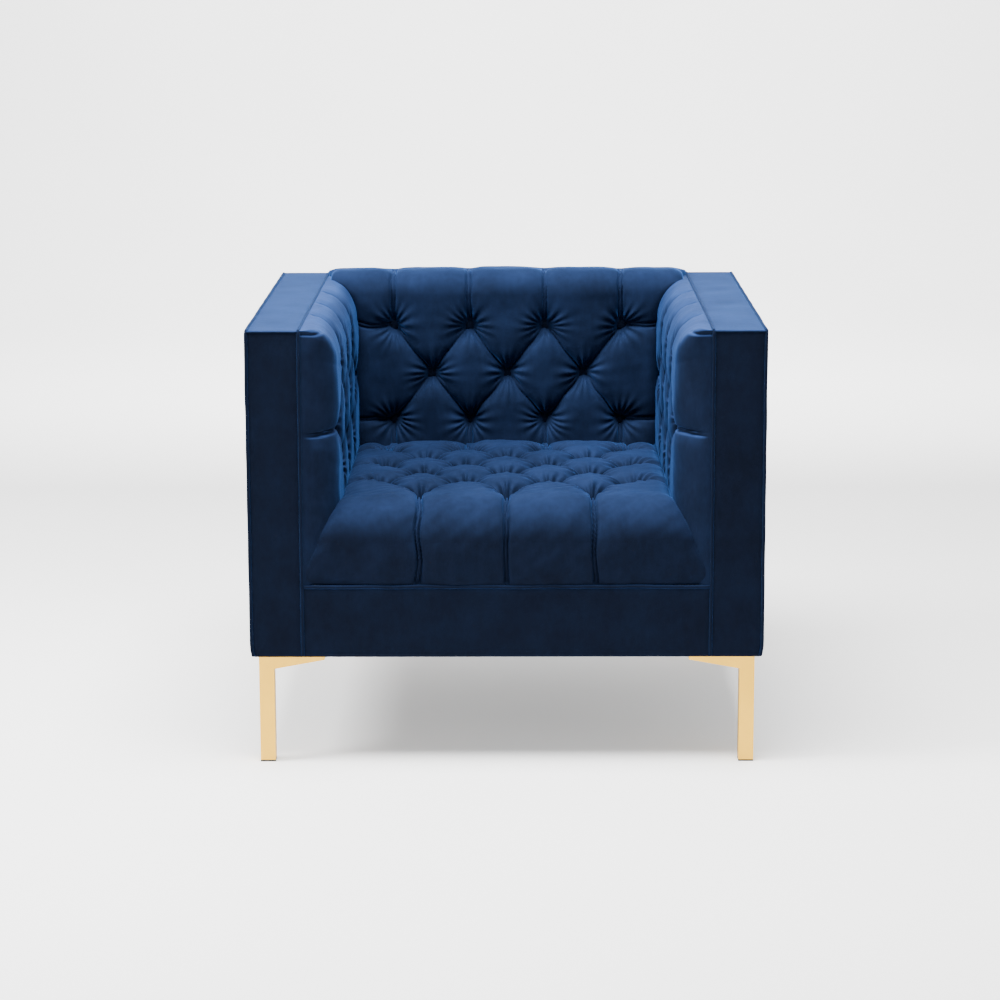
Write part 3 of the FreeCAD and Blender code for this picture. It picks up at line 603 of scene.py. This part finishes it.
def make_seat(pads):
    """Tufted seat: one closed pad with a rolled nose that wraps the arm fronts."""
    profile, nose_index = seat_profile(pads.grid)
    run = run_along(profile)
    past_nose = run - run[nose_index]
    half = np.interp(past_nose, [-0.045, -0.03, 0.0, 0.061, 0.107, 0.14],
                     [PAD_OUTER, PAD_OUTER - 4 * MM, 0.330, 0.307, 0.291, PAD_INNER + 1 * MM])
    share, base, outward = upright_rows(profile, half, int(2 * PAD_OUTER / pads.grid))
    x = base[..., 0]
    along = np.broadcast_to(run, x.shape)

    flat_run = run[nose_index] + NOSE_RADIUS * QUARTER - (FRONT + NOSE_RADIUS)
    rows = []
    for number, count in enumerate(SEAT_ROWS):
        place = flat_run + SEAT_FIRST_ROW + number * SEAT_ROW_PITCH
        rows.append([(across, place) for across in staggered(count, SEAT_PITCH)])
    tufts = [tuft for row in rows for tuft in row]
    creases = [line for first, second in zip(rows, rows[1:]) for line in joined(first, second)]
    pleats = [(tuft, (tuft[0], -12 * MM)) for tuft in rows[0]]
    for row in rows:
        if len(row) == max(SEAT_ROWS):
            for tuft in (row[0], row[-1]):
                wall = math.copysign(PAD_INNER + 5 * MM, tuft[0])
                pleats.append((tuft, (wall, tuft[1] - 2 * MM)))
    pleats += [(tuft, (tuft[0], run[-1] + 5 * MM)) for tuft in rows[-1]]

    firm = 1.6
    on_nose = 0.2 + 0.8 * smooth_step(along, 30 * MM, 140 * MM)
    depth = firm * tuft_depths(x, along, tufts, creases, pleats, pads, 11, on_nose)
    edge = half[None, :] - np.abs(x)
    drop = edge_drop(edge, 34 * MM, 17 * MM) * smooth_step(past_nose, -60 * MM, 0)[None, :]
    tucked = np.where(edge < 10 * MM, 5 * MM * (1 - edge / (10 * MM)) ** 2, 0)
    tucked = tucked * (past_nose < 0)[None, :]
    crown = 4 * MM * (1 - share[:, None] ** 2) * np.ones_like(x)
    sunk = depth * smooth_step(along, 0, 6 * MM)
    points = base + outward * (crown - sunk - drop - tucked)[..., None]
    crowned = base + outward * crown[..., None]
    note_buttons(crowned, outward, x, along, tufts, firm * pads.tuft_depth)

    rear = profile[-1, 0] + 4 * MM
    width = PAD_INNER - 1 * MM
    closing = [(rear, SEAT_HIGH[2] - 20 * MM, width), (rear, DECK, width), (0.0, DECK, width),
               (FRONT + 20 * MM, DECK, width)]
    rings = closed_under(points, share, closing)
    finish_pad("seat_pad", rings, "velvet_pad", True, ("seat_cover", "seat_foam"))


# ------------------------------------------------------------------ back
def back_profile(step):
    """The back's middle line (y, z) up its face, over the top and down to the rear edge."""
    face = BACK_LOW[1]
    crown = BACK_HIGH[2]
    arc_foot = crown - BACK_RADIUS
    points = [(face, z) for z in np.arange(BACK_FOOT, arc_foot, step)]
    arc_start = len(points)
    for turn in np.linspace(0, QUARTER, int(BACK_RADIUS * QUARTER / step), endpoint=False):
        y = face + BACK_RADIUS - BACK_RADIUS * math.cos(turn)
        points.append((y, arc_foot + BACK_RADIUS * math.sin(turn)))
    rear = REAR_LOW[1]
    flat_start = face + BACK_RADIUS
    drop = crown - REAR_HIGH[2] - 1 * MM
    for y in np.arange(flat_start, rear, 2 * step):
        share = max(y - flat_start, 0) / (rear - flat_start)
        points.append((y, crown - drop * share ** 2.2))
    return np.array(points), arc_start


def make_back(pads):
    """Tufted inside back, rolled over the top rail to the rear edge."""
    profile, arc_start = back_profile(pads.grid)
    shoulder_low = BAND_HIGH[2] - SHOULDER
    lift = np.clip((profile[:, 1] - shoulder_low) / SHOULDER, 0, 1)
    on_shoulder = BAND_LOW[0] - 3 * MM - SHOULDER_WIDTH * np.sqrt(1 - lift ** 2)
    half = np.minimum(np.maximum(on_shoulder + 5 * MM, PAD_INNER + 2 * MM), 338 * MM)
    half = half + (PAD_OUTER - half) * smooth_step(profile[:, 0], 335 * MM, 365 * MM)
    share, base, outward = upright_rows(profile, half, int(620 * MM / pads.grid))
    x = base[..., 0]
    run = run_along(profile)
    along = np.broadcast_to(run, x.shape)

    rows = []
    for number, count in enumerate(BACK_ROWS):
        height = TOP_ROW - number * ROW_DROP - BACK_FOOT
        rows.append([(across, height) for across in staggered(count, BACK_PITCH)])
    tufts = [tuft for row in rows for tuft in row]
    creases = joined(rows[0], rows[1]) + joined(rows[2], rows[1])
    over_top = run[arc_start] + BACK_RADIUS * QUARTER + 60 * MM
    pleats = [(tuft, (tuft[0], over_top)) for tuft in rows[0]]
    pleats += [(tuft, (tuft[0], -10 * MM)) for tuft in rows[2]]
    for row in (rows[0], rows[2]):
        for tuft in (row[0], row[-1]):
            wall = math.copysign(PAD_INNER + 8 * MM, tuft[0])
            pleats.append((tuft, (wall, tuft[1] + 3 * MM)))

    depth = tuft_depths(x, along, tufts, creases, pleats, pads, 23)
    drop = edge_drop(half[None, :] - np.abs(x), 26 * MM, 15 * MM)
    fade = 1 - smooth_step(profile[:, 0], 330 * MM, 400 * MM)[None, :]
    crown = 3 * MM * (1 - share[:, None] ** 2)
    points = base + outward * (crown - (depth + drop) * fade)[..., None]
    note_buttons(base, outward, x, along, tufts, pads.tuft_depth)

    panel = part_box("inner_back_panel")[0][1]
    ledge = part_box("back_top_rail")[1][2] + 1 * MM
    foot = BACK_FOOT - 40 * MM
    narrow = PAD_INNER - 1 * MM
    closing = [(REAR_LOW[1], ledge, PAD_OUTER), (panel, ledge, PAD_OUTER), (panel, foot, narrow),
               (BACK_LOW[1] + 12 * MM, foot, narrow)]
    rings = closed_under(points, share, closing)
    finish_pad("back_pad", rings, "velvet_back", True, ("inside_back_cover", "back_foam"))


# ------------------------------------------------------------------ arm pads
def rounded_then_straight(arc_steps, straight):
    """Turns and distances along a quarter round that goes on straight."""
    turn = np.linspace(0, QUARTER, arc_steps, endpoint=False)
    turn = np.concatenate([turn, np.full(len(straight), QUARTER)])
    return turn, np.concatenate([np.zeros(arc_steps), straight])


def make_arm(side, pads):
    """Tufted inside arm: soft shoulder on top, rounded to the front piping."""
    across = -1 if side == "left" else 1
    step = pads.grid
    wall = PAD_OUTER + 1 * MM
    top = ARM_HIGH[2]
    low = DECK + 1 * MM
    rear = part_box("inner_back_panel")[0][1] - 1 * MM

    # The smooth form: a squarish round over the top and another round the front.
    fall = top - SHOULDER
    below = fall - np.arange(fall, low, -step)
    behind = np.arange(FRONT + FRONT_ROUND, rear, step) - FRONT - FRONT_ROUND
    rise, down = rounded_then_straight(int(130 * MM / step), below)
    turn, back = rounded_then_straight(int(105 * MM / step), behind)
    turn, rise = np.meshgrid(turn, rise, indexing="ij")
    back, down = np.meshgrid(back, down, indexing="ij")
    from_front = FRONT_ROUND * (1 - np.cos(turn)) + back
    from_top = SHOULDER * (1 - np.cos(rise)) + down
    top_power = 2 / (2 + 2.4 * np.exp(-from_front / (34 * MM)))
    front_power = 2 / (2 + 2.0 * np.exp(-from_top / (45 * MM)))
    z_fall = SHOULDER * (1 - np.cos(rise) ** top_power) + down
    y_back = FRONT_ROUND * (1 - np.cos(turn) ** front_power) + back
    swell = np.sin(rise) ** top_power * np.sin(turn) ** front_power
    x = across * (wall - (wall - PAD_INNER) * swell)
    base = np.stack([x, FRONT + y_back, top - z_fall], -1)
    outward = grid_normals(base) * across

    # The tufts, on the cloth laid flat.
    a = FRONT + FRONT_ROUND + back - FRONT_ROUND * (QUARTER - turn)
    b = fall - down + (QUARTER - rise) * 82 * MM
    rows = []
    for number, count in enumerate(ARM_ROWS):
        start = FRONT + ARM_FIRST_BUTTON + (0 if count == max(ARM_ROWS) else ARM_PITCH / 2)
        height = TOP_ROW - number * ROW_DROP
        rows.append([(start + index * ARM_PITCH, height) for index in range(count)])
    tufts = [tuft for row in rows for tuft in row]
    creases = joined(rows[0], rows[1]) + joined(rows[2], rows[1])
    pleats = [(tuft, (tuft[0], top + 30 * MM)) for tuft in rows[0]]
    pleats += [(tuft, (tuft[0], low - 10 * MM)) for tuft in rows[2]]
    first, last = rows[1][0], rows[1][-1]
    pleats.append((first, (FRONT - 40 * MM, first[1])))
    pleats.append((last, (BACK_LOW[1] + 20 * MM, last[1])))
    depth = tuft_depths(a, b, tufts, creases, pleats, pads, 31 if side == "left" else 47)

    # The tufts fade at the piping and behind the back; the front top corner has a folded-in tuck.
    from_piping = smooth_step(turn, 0, 0.45)
    hold = smooth_step(rise, 0, 0.28) * from_piping
    hidden = smooth_step(base[..., 1], BACK_LOW[1] + 5 * MM, BACK_LOW[1] + 30 * MM)
    fold = 2.2 * MM * dent(z_fall - 7 * MM, 2.2 * MM)
    fold = fold * (1 - smooth_step(turn, 0.9, 1.25)) * (1 - smooth_step(y_back, 18 * MM, 30 * MM))
    puff = 6 * MM * np.sin(math.pi * np.clip(rise / 1.3, 0, 1)) ** 0.8 * from_piping
    points = base - outward * (depth * hold * (1 - 0.8 * hidden) + fold - puff)[..., None]
    note_buttons(base, outward, a, b, tufts, pads.tuft_depth)

    tail = np.zeros((points.shape[0], 2, 3))
    tail[:, 0] = points[:, -1] + (0, 0, -1 * MM)
    tail[:, 1] = tail[:, 0]
    tail[:, 1, 0] = across * wall
    rings = np.concatenate([points, tail], axis=1)
    nodes = (f"{side}_inside_arm_cover", f"{side}_arm_foam")
    finish_pad(f"{side}_arm_pad", rings, "velvet_arm", side == "right", nodes)


# ------------------------------------------------------------------ flat covers
def corner_taper(z):
    """How far the bottom outer corners of the body draw in."""
    reach = 24 * MM
    lift = np.clip((z - FACING_LOW[2]) / reach, 0, 1)
    return 3.5 * MM * (1 - lift) ** 2


def bent(share):
    """Crowd evenly spread places towards both ends, where a cover curves most."""
    return share - 0.055 * np.sin(math.tau * share)


def make_panel(name, low, high, axis, outward, node, crown=1.6 * MM, seed=1, taper=None):
    """A stretched cover: gently crowned, tucked at its edges, closed behind."""
    u_axis, v_axis = (index for index in range(3) if index != axis)
    low, high = np.array(low), np.array(high)
    under = WELT_RADIUS * 0.7
    low[[u_axis, v_axis]] -= under
    high[[u_axis, v_axis]] += under
    if axis != 2:
        low[2] += under
    step = 6 * MM
    span = high - low
    u_share = bent(np.linspace(0, 1, max(int(span[u_axis] / step), 12)))
    v_share = bent(np.linspace(0, 1, max(int(span[v_axis] / step), 12)))
    u = low[u_axis] + span[u_axis] * u_share
    v = low[v_axis] + span[v_axis] * v_share
    u_grid, v_grid = np.meshgrid(u, v, indexing="ij")
    margin = np.minimum.reduce([u_grid - low[u_axis], high[u_axis] - u_grid,
                                v_grid - low[v_axis], high[v_axis] - v_grid])
    face = high[axis] if outward > 0 else low[axis]
    back = low[axis] if outward > 0 else high[axis]
    full = crown * np.sin(math.pi * np.clip(u_share, 0, 1))[:, None] ** 0.5
    full = full * np.sin(math.pi * np.clip(v_share, 0, 1))[None, :] ** 0.5
    tuck = 1.1 * MM * np.exp(-margin / (4 * MM))
    uneven = 0.45 * MM * ripple(u_grid, v_grid, seed, 130 * MM) * smooth_step(margin, 0, 25 * MM)
    puckers = 0.15 * MM * ripple(u_grid, v_grid, seed + 1, 16 * MM) * np.exp(-margin / (9 * MM))
    points = np.zeros(u_grid.shape + (3,))
    points[..., u_axis] = u_grid
    points[..., v_axis] = v_grid
    points[..., axis] = face + outward * (full - tuck + uneven + puckers)
    behind = points.copy()
    behind[..., axis] = back
    if taper == "x":
        for layer in (points, behind):
            outboard = (np.abs(layer[..., 0]) - abs(FACING_LOW[0])) / (80 * MM)
            draw_in = corner_taper(layer[..., 2]) * outboard
            layer[..., 0] -= np.sign(layer[..., 0]) * np.clip(draw_in, 0, None)
    if taper == "face":
        for layer in (points, behind):
            to_corner = np.minimum(layer[..., 1] - SIDE_LOW[1], SIDE_HIGH[1] - layer[..., 1])
            draw_in = corner_taper(layer[..., 2]) * np.exp(-np.maximum(to_corner, 0) / (20 * MM))
            layer[..., 0] -= np.sign(layer[..., 0]) * draw_in
    ring = np.concatenate([points, behind[:, ::-1]], axis=1)
    clockwise = (axis == 1) != (outward > 0)
    panel = closed_loft(name, ring, "velvet", flip=clockwise)
    finish_piece(panel, (node,))


def make_covers():
    """Facings, top bands, outside arms, front border and outside back."""
    for side, across in (("left", -1), ("right", 1)):
        seed = 60 if side == "left" else 70
        for part, axis, outward, taper in (("arm_facing", 1, -1, "x"), ("arm_top_band", 2, 1, None),
                                           ("outside_arm_cover", 0, across, "face")):
            node = f"{side}_{part}"
            low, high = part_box(node)
            make_panel(f"{node}_velvet", low, high, axis, outward, node, seed=seed + axis, taper=taper)
    make_panel("front_border_velvet", BORDER_LOW, BORDER_HIGH, 1, -1, "front_border", 1.5 * MM, 81)
    make_panel("outside_back_velvet", REAR_LOW, REAR_HIGH, 1, 1, "outside_back_cover", 2 * MM, 83)


# ------------------------------------------------------------------ piping
def new_group(name, inputs, output):
    """A geometry node group with inputs by name and type, and the keys that set them."""
    tree = bpy.data.node_groups.new(name, "GeometryNodeTree")
    keys = {}
    for label, kind in inputs.items():
        socket = tree.interface.new_socket(label, in_out="INPUT", socket_type=f"NodeSocket{kind}")
        keys[label] = socket.identifier
    tree.interface.new_socket(output, in_out="OUTPUT", socket_type="NodeSocketGeometry")
    return tree, add_node(tree, "NodeGroupInput").outputs, keys


def dye(tree, geometry, cloth, output):
    """Give grown geometry its cloth and hand it out of the group."""
    real = add_node(tree, "GeometryNodeRealizeInstances", inputs={"Geometry": geometry})
    dyed = add_node(tree, "GeometryNodeSetMaterial", inputs={
        "Geometry": real.outputs["Geometry"], "Material": cloth})
    result = add_node(tree, "NodeGroupOutput")
    tree.links.new(dyed.outputs["Geometry"], result.inputs[output])


def piping_tree():
    """Sweep a round cord along a curve; inputs are its radius and material."""
    sockets = {"Path": "Geometry", "Radius": "Float", "Cloth": "Material"}
    tree, given, keys = new_group("piping", sockets, "Piping")
    spaced = add_node(tree, "GeometryNodeResampleCurve", {"mode": "LENGTH"},
                      {"Curve": given["Path"], "Length": 4 * MM})
    ring = add_node(tree, "GeometryNodeCurvePrimitiveCircle", inputs={
        "Resolution": 14, "Radius": given["Radius"]})
    swept = add_node(tree, "GeometryNodeCurveToMesh", inputs={
        "Curve": spaced.outputs["Curve"], "Profile Curve": ring.outputs["Curve"], "Fill Caps": True})
    smooth = add_node(tree, "GeometryNodeSetShadeSmooth", inputs={"Geometry": swept.outputs["Mesh"]})
    dye(tree, smooth.outputs["Geometry"], given["Cloth"], "Piping")
    return tree, keys


def grown(name, source, tree, settings):
    """Run a node tree on an object and keep its result as a plain mesh."""
    modifier = source.modifiers.new("grow", "NODES")
    modifier.node_group = tree
    for key, value in settings.items():
        modifier[key] = value
    bpy.context.view_layer.update()
    evaluated = source.evaluated_get(bpy.context.evaluated_depsgraph_get())
    mesh = bpy.data.meshes.new_from_object(evaluated)
    mesh.name = name
    bpy.data.objects.remove(source)
    return new_object(name, mesh)


def path_object(name, routes):
    """Poly curves through lists of points."""
    curve = bpy.data.curves.new(name, "CURVE")
    curve.dimensions = "3D"
    for route in routes:
        spline = curve.splines.new("POLY")
        spline.points.add(len(route) - 1)
        for point, place in zip(spline.points, route):
            point.co = (*place, 1)
    return new_object(name, curve)


def rounded_route(corners, bend, step=6 * MM):
    """Points along straight runs with rounded corners, closely spaced."""
    route = [np.array(corners[0], float)]
    for before, corner, after in zip(corners, corners[1:], corners[2:]):
        before, corner, after = (np.array(p, float) for p in (before, corner, after))
        arrive = (corner - before) / np.linalg.norm(corner - before)
        leave = (after - corner) / np.linalg.norm(after - corner)
        centre = corner - arrive * bend + leave * bend
        for turn in np.linspace(0, QUARTER, 7):
            route.append(centre - leave * bend * math.cos(turn) + arrive * bend * math.sin(turn))
    route.append(np.array(corners[-1], float))
    spaced = [route[0]]
    for start, end in zip(route, route[1:]):
        pieces = max(int(np.linalg.norm(end - start) / step), 1)
        spaced += [start + (end - start) * (k + 1) / pieces for k in range(pieces)]
    return np.array(spaced)


def make_piping():
    """Velvet-covered cord in the seams of the arms and the seat front."""
    tree, keys = piping_tree()
    settings = {keys["Radius"]: WELT_RADIUS, keys["Cloth"]: MATERIALS["velvet_trim"]}
    radius = WELT_RADIUS
    routes = {"outer_piping": [], "inner_piping": [], "seat_piping": []}
    foot = OUTER_WELT_LOW[2]
    bend = radius * 1.5
    for across in (-1, 1):
        x = across * (OUTER_WELT_HIGH[0] - radius)
        front = OUTER_WELT_LOW[1] + radius
        rear = OUTER_WELT_HIGH[1] - radius
        level = OUTER_WELT_HIGH[2] - radius
        corners = [(x, front, foot), (x, front, level), (x, rear, level), (x, rear, foot)]
        route = rounded_route(corners, bend)
        route[:, 0] -= across * corner_taper(route[:, 2])
        routes["outer_piping"].append(route)
        x = across * (INNER_WELT_HIGH[0] - radius)
        rear = INNER_WELT_HIGH[1]
        corners = [(x, front, foot), (x, front, level), (x, rear, level)]
        routes["inner_piping"].append(rounded_route(corners, bend))
    low, high = SEAT_WELT_LOW, SEAT_WELT_HIGH
    middle_y = (low[1] + high[1]) / 2
    middle_z = (low[2] + high[2]) / 2
    ends = [(low[0], middle_y, middle_z), (high[0], middle_y, middle_z)]
    routes["seat_piping"].append(rounded_route(ends, bend))
    nodes = {"outer_piping": "outer_welts", "inner_piping": "inner_welts", "seat_piping": "seat_welt"}
    for seed, (name, lines) in enumerate(routes.items()):
        for route in lines:
            run = np.linspace(0, len(route) * 6 * MM, len(route))
            wobble = 0.35 * MM * ripple(run, run * 0, 90 + seed, 120 * MM)
            route[:, 1] += wobble * (name == "seat_piping") * 0.3
            route[:, 0] += wobble * (name != "seat_piping")
            route[:, 2] += wobble * (name == "seat_piping") * 2
        piece = grown(name, path_object(f"{name}_path", lines), tree, settings)
        finish_piece(piece, (nodes[name],))


# ------------------------------------------------------------------ buttons
def button_mesh(diameter):
    """One covered button: a low dome with a rolled rim and gathered cloth."""
    radius = diameter / 2
    heights = [(0.0, 6.2), (0.35, 5.9), (0.62, 5.1), (0.85, 3.6), (0.98, 1.8), (1.0, 0.0), (0.9, -1.5)]
    around = 28
    points = [(0, 0, heights[0][1] * MM)]
    for share, height in heights[1:]:
        for index in range(around):
            turn = index / around * math.tau
            gather = 1 + 0.02 * math.sin(turn * 9) * (share > 0.8)
            points.append((radius * share * gather * math.cos(turn),
                           radius * share * gather * math.sin(turn), height * MM))
    faces = [[0, 1 + index, 1 + (index + 1) % around] for index in range(around)]
    for ring in range(len(heights) - 2):
        start = 1 + ring * around
        for index in range(around):
            beside = (index + 1) % around
            faces.append([start + index, start + around + index, start + around + beside, start + beside])
    last = 1 + (len(heights) - 2) * around
    faces.append([last + index for index in range(around)][::-1])
    return mesh_object("button_pattern", points, faces, "velvet_trim")


def button_tree():
    """Set a button on every point, turned to the point's own direction."""
    sockets = {"Spots": "Geometry", "Button": "Object", "Cloth": "Material"}
    tree, given, keys = new_group("covered buttons", sockets, "Buttons")
    shape = add_node(tree, "GeometryNodeObjectInfo", inputs={"Object": given["Button"]})
    facing = add_node(tree, "GeometryNodeInputNamedAttribute",
                      {"data_type": "FLOAT_VECTOR"}, {"Name": "facing"})
    turn = add_node(tree, "FunctionNodeAlignRotationToVector", {"axis": "Z"},
                    {"Vector": facing.outputs["Attribute"]})
    placed = add_node(tree, "GeometryNodeInstanceOnPoints", inputs={
        "Points": given["Spots"], "Instance": shape.outputs["Geometry"],
        "Rotation": turn.outputs["Rotation"]})
    dye(tree, placed.outputs["Instances"], given["Cloth"], "Buttons")
    return tree, keys


def make_buttons(pads):
    """All covered buttons, sunk in their tufts."""
    pattern = button_mesh(pads.button)
    tree, keys = button_tree()
    mesh = bpy.data.meshes.new("button_spots")
    mesh.from_pydata([tuple(spot) for spot, _ in BUTTON_SPOTS], [], [])
    facing = mesh.attributes.new("facing", "FLOAT_VECTOR", "POINT")
    facing.data.foreach_set("vector", np.array([way for _, way in BUTTON_SPOTS]).ravel())
    spots = new_object("button_spots", mesh)
    settings = {keys["Button"]: pattern, keys["Cloth"]: MATERIALS["velvet_trim"]}
    buttons = grown("tuft_buttons", spots, tree, settings)
    bpy.data.objects.remove(pattern)
    finish_piece(buttons, ("seat_buttons", "back_buttons", "arm_buttons"))


# ------------------------------------------------------------------ legs
def make_legs():
    """Legs with softened edges, made from the frame's own leg shapes."""
    for node in ("front_left_leg", "front_right_leg", "rear_left_leg", "rear_right_leg"):
        source = frame["nodes"][node]
        mesh = source.data.copy()
        mesh.materials.clear()
        mesh.materials.append(MATERIALS["leg_metal"])
        piece = new_object(f"{node}_plated", mesh)
        piece.matrix_world = source.matrix_world
        bpy.context.view_layer.update()
        mesh.transform(piece.matrix_world)
        piece.matrix_world.identity()
        weld = piece.modifiers.new("weld", "WELD")
        weld.merge_threshold = 0.01 * MM
        flatten = piece.modifiers.new("flatten", "DECIMATE")
        flatten.decimate_type = "DISSOLVE"
        flatten.angle_limit = math.radians(2)
        soften = piece.modifiers.new("soften", "BEVEL")
        soften.width = 1.1 * MM
        soften.segments = 3
        soften.limit_method = "ANGLE"
        soften.angle_limit = math.radians(40)
        soften.harden_normals = True
        bpy.context.view_layer.update()
        evaluated = piece.evaluated_get(bpy.context.evaluated_depsgraph_get())
        finished = bpy.data.meshes.new_from_object(evaluated)
        piece.modifiers.clear()
        piece.data = finished
        finish_piece(piece, (node,))


def dress_frame():
    """Give every CAD node that stays its own finish."""
    slots = {entry["node"]: entry["material_slot"] for entry in frame["record"]["subparts"]}
    for node, piece in frame["nodes"].items():
        material = MATERIALS[slots[node]]
        piece.data.materials.clear()
        piece.data.materials.append(material)


# ------------------------------------------------------------------ stage
def make_stage(settings):
    """Pale sweep, soft box lights and the camera."""
    width, front, bend_start, radius, height = 30.0, -30.0, 5.0, 3.0, 14.0
    profile = [(front, 0.0), (bend_start, 0.0)]
    for turn in np.linspace(0, QUARTER, 16)[1:]:
        profile.append((bend_start + radius * math.sin(turn), radius - radius * math.cos(turn)))
    profile.append((bend_start + radius, height))
    points = []
    for x in (-width, width):
        points += [(x, y, z) for y, z in profile]
    count = len(profile)
    faces = [[k, k + count, k + 1 + count, k + 1] for k in range(count - 1)]
    MATERIALS["paper"] = floor_material()
    floor = mesh_object("studio_floor", points, faces, "paper")
    world = bpy.data.worlds.new("studio")
    bpy.context.scene.world = world
    world.use_nodes = True
    sky = world.node_tree.nodes["Background"]
    sky.inputs["Color"].default_value = (1.0, 1.0, 1.0, 1.0)
    sky.inputs["Strength"].default_value = 0.24 * settings.light
    lamps = (
        ("top_softbox", (-0.1, -0.8, 3.2), 1.8, 150, (0, 0.0, 0.4)),
        ("left_softbox", (-3.0, -0.9, 3.0), 1.4, 135, (0.1, 0, 0.45)),
        ("right_softbox", (3.4, -3.0, 1.8), 2.2, 10, (0, 0, 0.4)),
        ("backdrop_light", (0, 2.6, 3.4), 3.0, 380, (0, 8.0, 2.6)),
    )
    for name, place, size, power, target in lamps:
        data = bpy.data.lights.new(name, "AREA")
        data.shape = "SQUARE"
        data.size = size
        data.energy = power * settings.light
        lamp = new_object(name, data)
        lamp.location = place
        lamp.rotation_euler = (Vector(target) - Vector(place)).to_track_quat("-Z", "Y").to_euler()
    data = bpy.data.cameras.new("camera")
    data.lens = settings.lens
    data.sensor_width = 36.0
    data.clip_end = 200
    camera = new_object("camera", data)
    camera.location = settings.camera_place
    camera.rotation_euler = settings.camera_turn
    bpy.context.scene.camera = camera


# ------------------------------------------------------------------ operators
class ARMCHAIR_OT_stage(bpy.types.Operator):
    """Add the floor, lights and camera"""

    bl_idname = "armchair.stage"
    bl_label = "Stage"

    def execute(self, context):
        make_stage(context.scene.armchair_stage)
        return {"FINISHED"}


class ARMCHAIR_OT_frame(bpy.types.Operator):
    """Make the finishes and dress the frame's own pieces"""

    bl_idname = "armchair.frame"
    bl_label = "Frame finishes"

    def execute(self, context):
        make_materials(context.scene.armchair_cloth)
        dress_frame()
        return {"FINISHED"}


class ARMCHAIR_OT_seat(bpy.types.Operator):
    """Make the tufted seat"""

    bl_idname = "armchair.seat"
    bl_label = "Seat"

    def execute(self, context):
        make_seat(context.scene.armchair_pads)
        return {"FINISHED"}


class ARMCHAIR_OT_back(bpy.types.Operator):
    """Make the tufted inside back"""

    bl_idname = "armchair.back"
    bl_label = "Inside back"

    def execute(self, context):
        make_back(context.scene.armchair_pads)
        return {"FINISHED"}


class ARMCHAIR_OT_arms(bpy.types.Operator):
    """Make the two tufted inside arms"""

    bl_idname = "armchair.arms"
    bl_label = "Inside arms"

    def execute(self, context):
        for side in ("left", "right"):
            make_arm(side, context.scene.armchair_pads)
        return {"FINISHED"}


class ARMCHAIR_OT_covers(bpy.types.Operator):
    """Make the flat velvet covers"""

    bl_idname = "armchair.covers"
    bl_label = "Flat covers"

    def execute(self, context):
        make_covers()
        return {"FINISHED"}


class ARMCHAIR_OT_piping(bpy.types.Operator):
    """Make the piping"""

    bl_idname = "armchair.piping"
    bl_label = "Piping"

    def execute(self, context):
        make_piping()
        return {"FINISHED"}


class ARMCHAIR_OT_buttons(bpy.types.Operator):
    """Make the covered buttons"""

    bl_idname = "armchair.buttons"
    bl_label = "Buttons"

    def execute(self, context):
        make_buttons(context.scene.armchair_pads)
        return {"FINISHED"}


class ARMCHAIR_OT_legs(bpy.types.Operator):
    """Make the metal legs"""

    bl_idname = "armchair.legs"
    bl_label = "Legs"

    def execute(self, context):
        make_legs()
        return {"FINISHED"}


OPERATORS = (
    ARMCHAIR_OT_frame, ARMCHAIR_OT_stage, ARMCHAIR_OT_seat, ARMCHAIR_OT_back, ARMCHAIR_OT_arms,
    ARMCHAIR_OT_covers, ARMCHAIR_OT_piping, ARMCHAIR_OT_buttons, ARMCHAIR_OT_legs,
)


class ARMCHAIR_PT_panel(bpy.types.Panel):
    """Lists the chair's pieces in the sidebar"""

    bl_idname = "ARMCHAIR_PT_panel"
    bl_label = "Armchair"
    bl_space_type = "VIEW_3D"
    bl_region_type = "UI"
    bl_category = "Armchair"

    def draw(self, context):
        for operator in OPERATORS:
            self.layout.operator(operator.bl_idname)


GROUPS = {"armchair_pads": PadSettings, "armchair_cloth": ClothSettings, "armchair_stage": StageSettings}
CLASSES = (*GROUPS.values(), *OPERATORS, ARMCHAIR_PT_panel)


def register():
    for item in CLASSES:
        bpy.utils.register_class(item)
    for name, group in GROUPS.items():
        setattr(bpy.types.Scene, name, bpy.props.PointerProperty(type=group))


def unregister():
    for name in GROUPS:
        delattr(bpy.types.Scene, name)
    for item in reversed(CLASSES):
        bpy.utils.unregister_class(item)


def main():
    register()
    for operator in OPERATORS:
        group, name = operator.bl_idname.split(".")
        getattr(getattr(bpy.ops, group), name)()


if __name__ == "__main__":
    main()
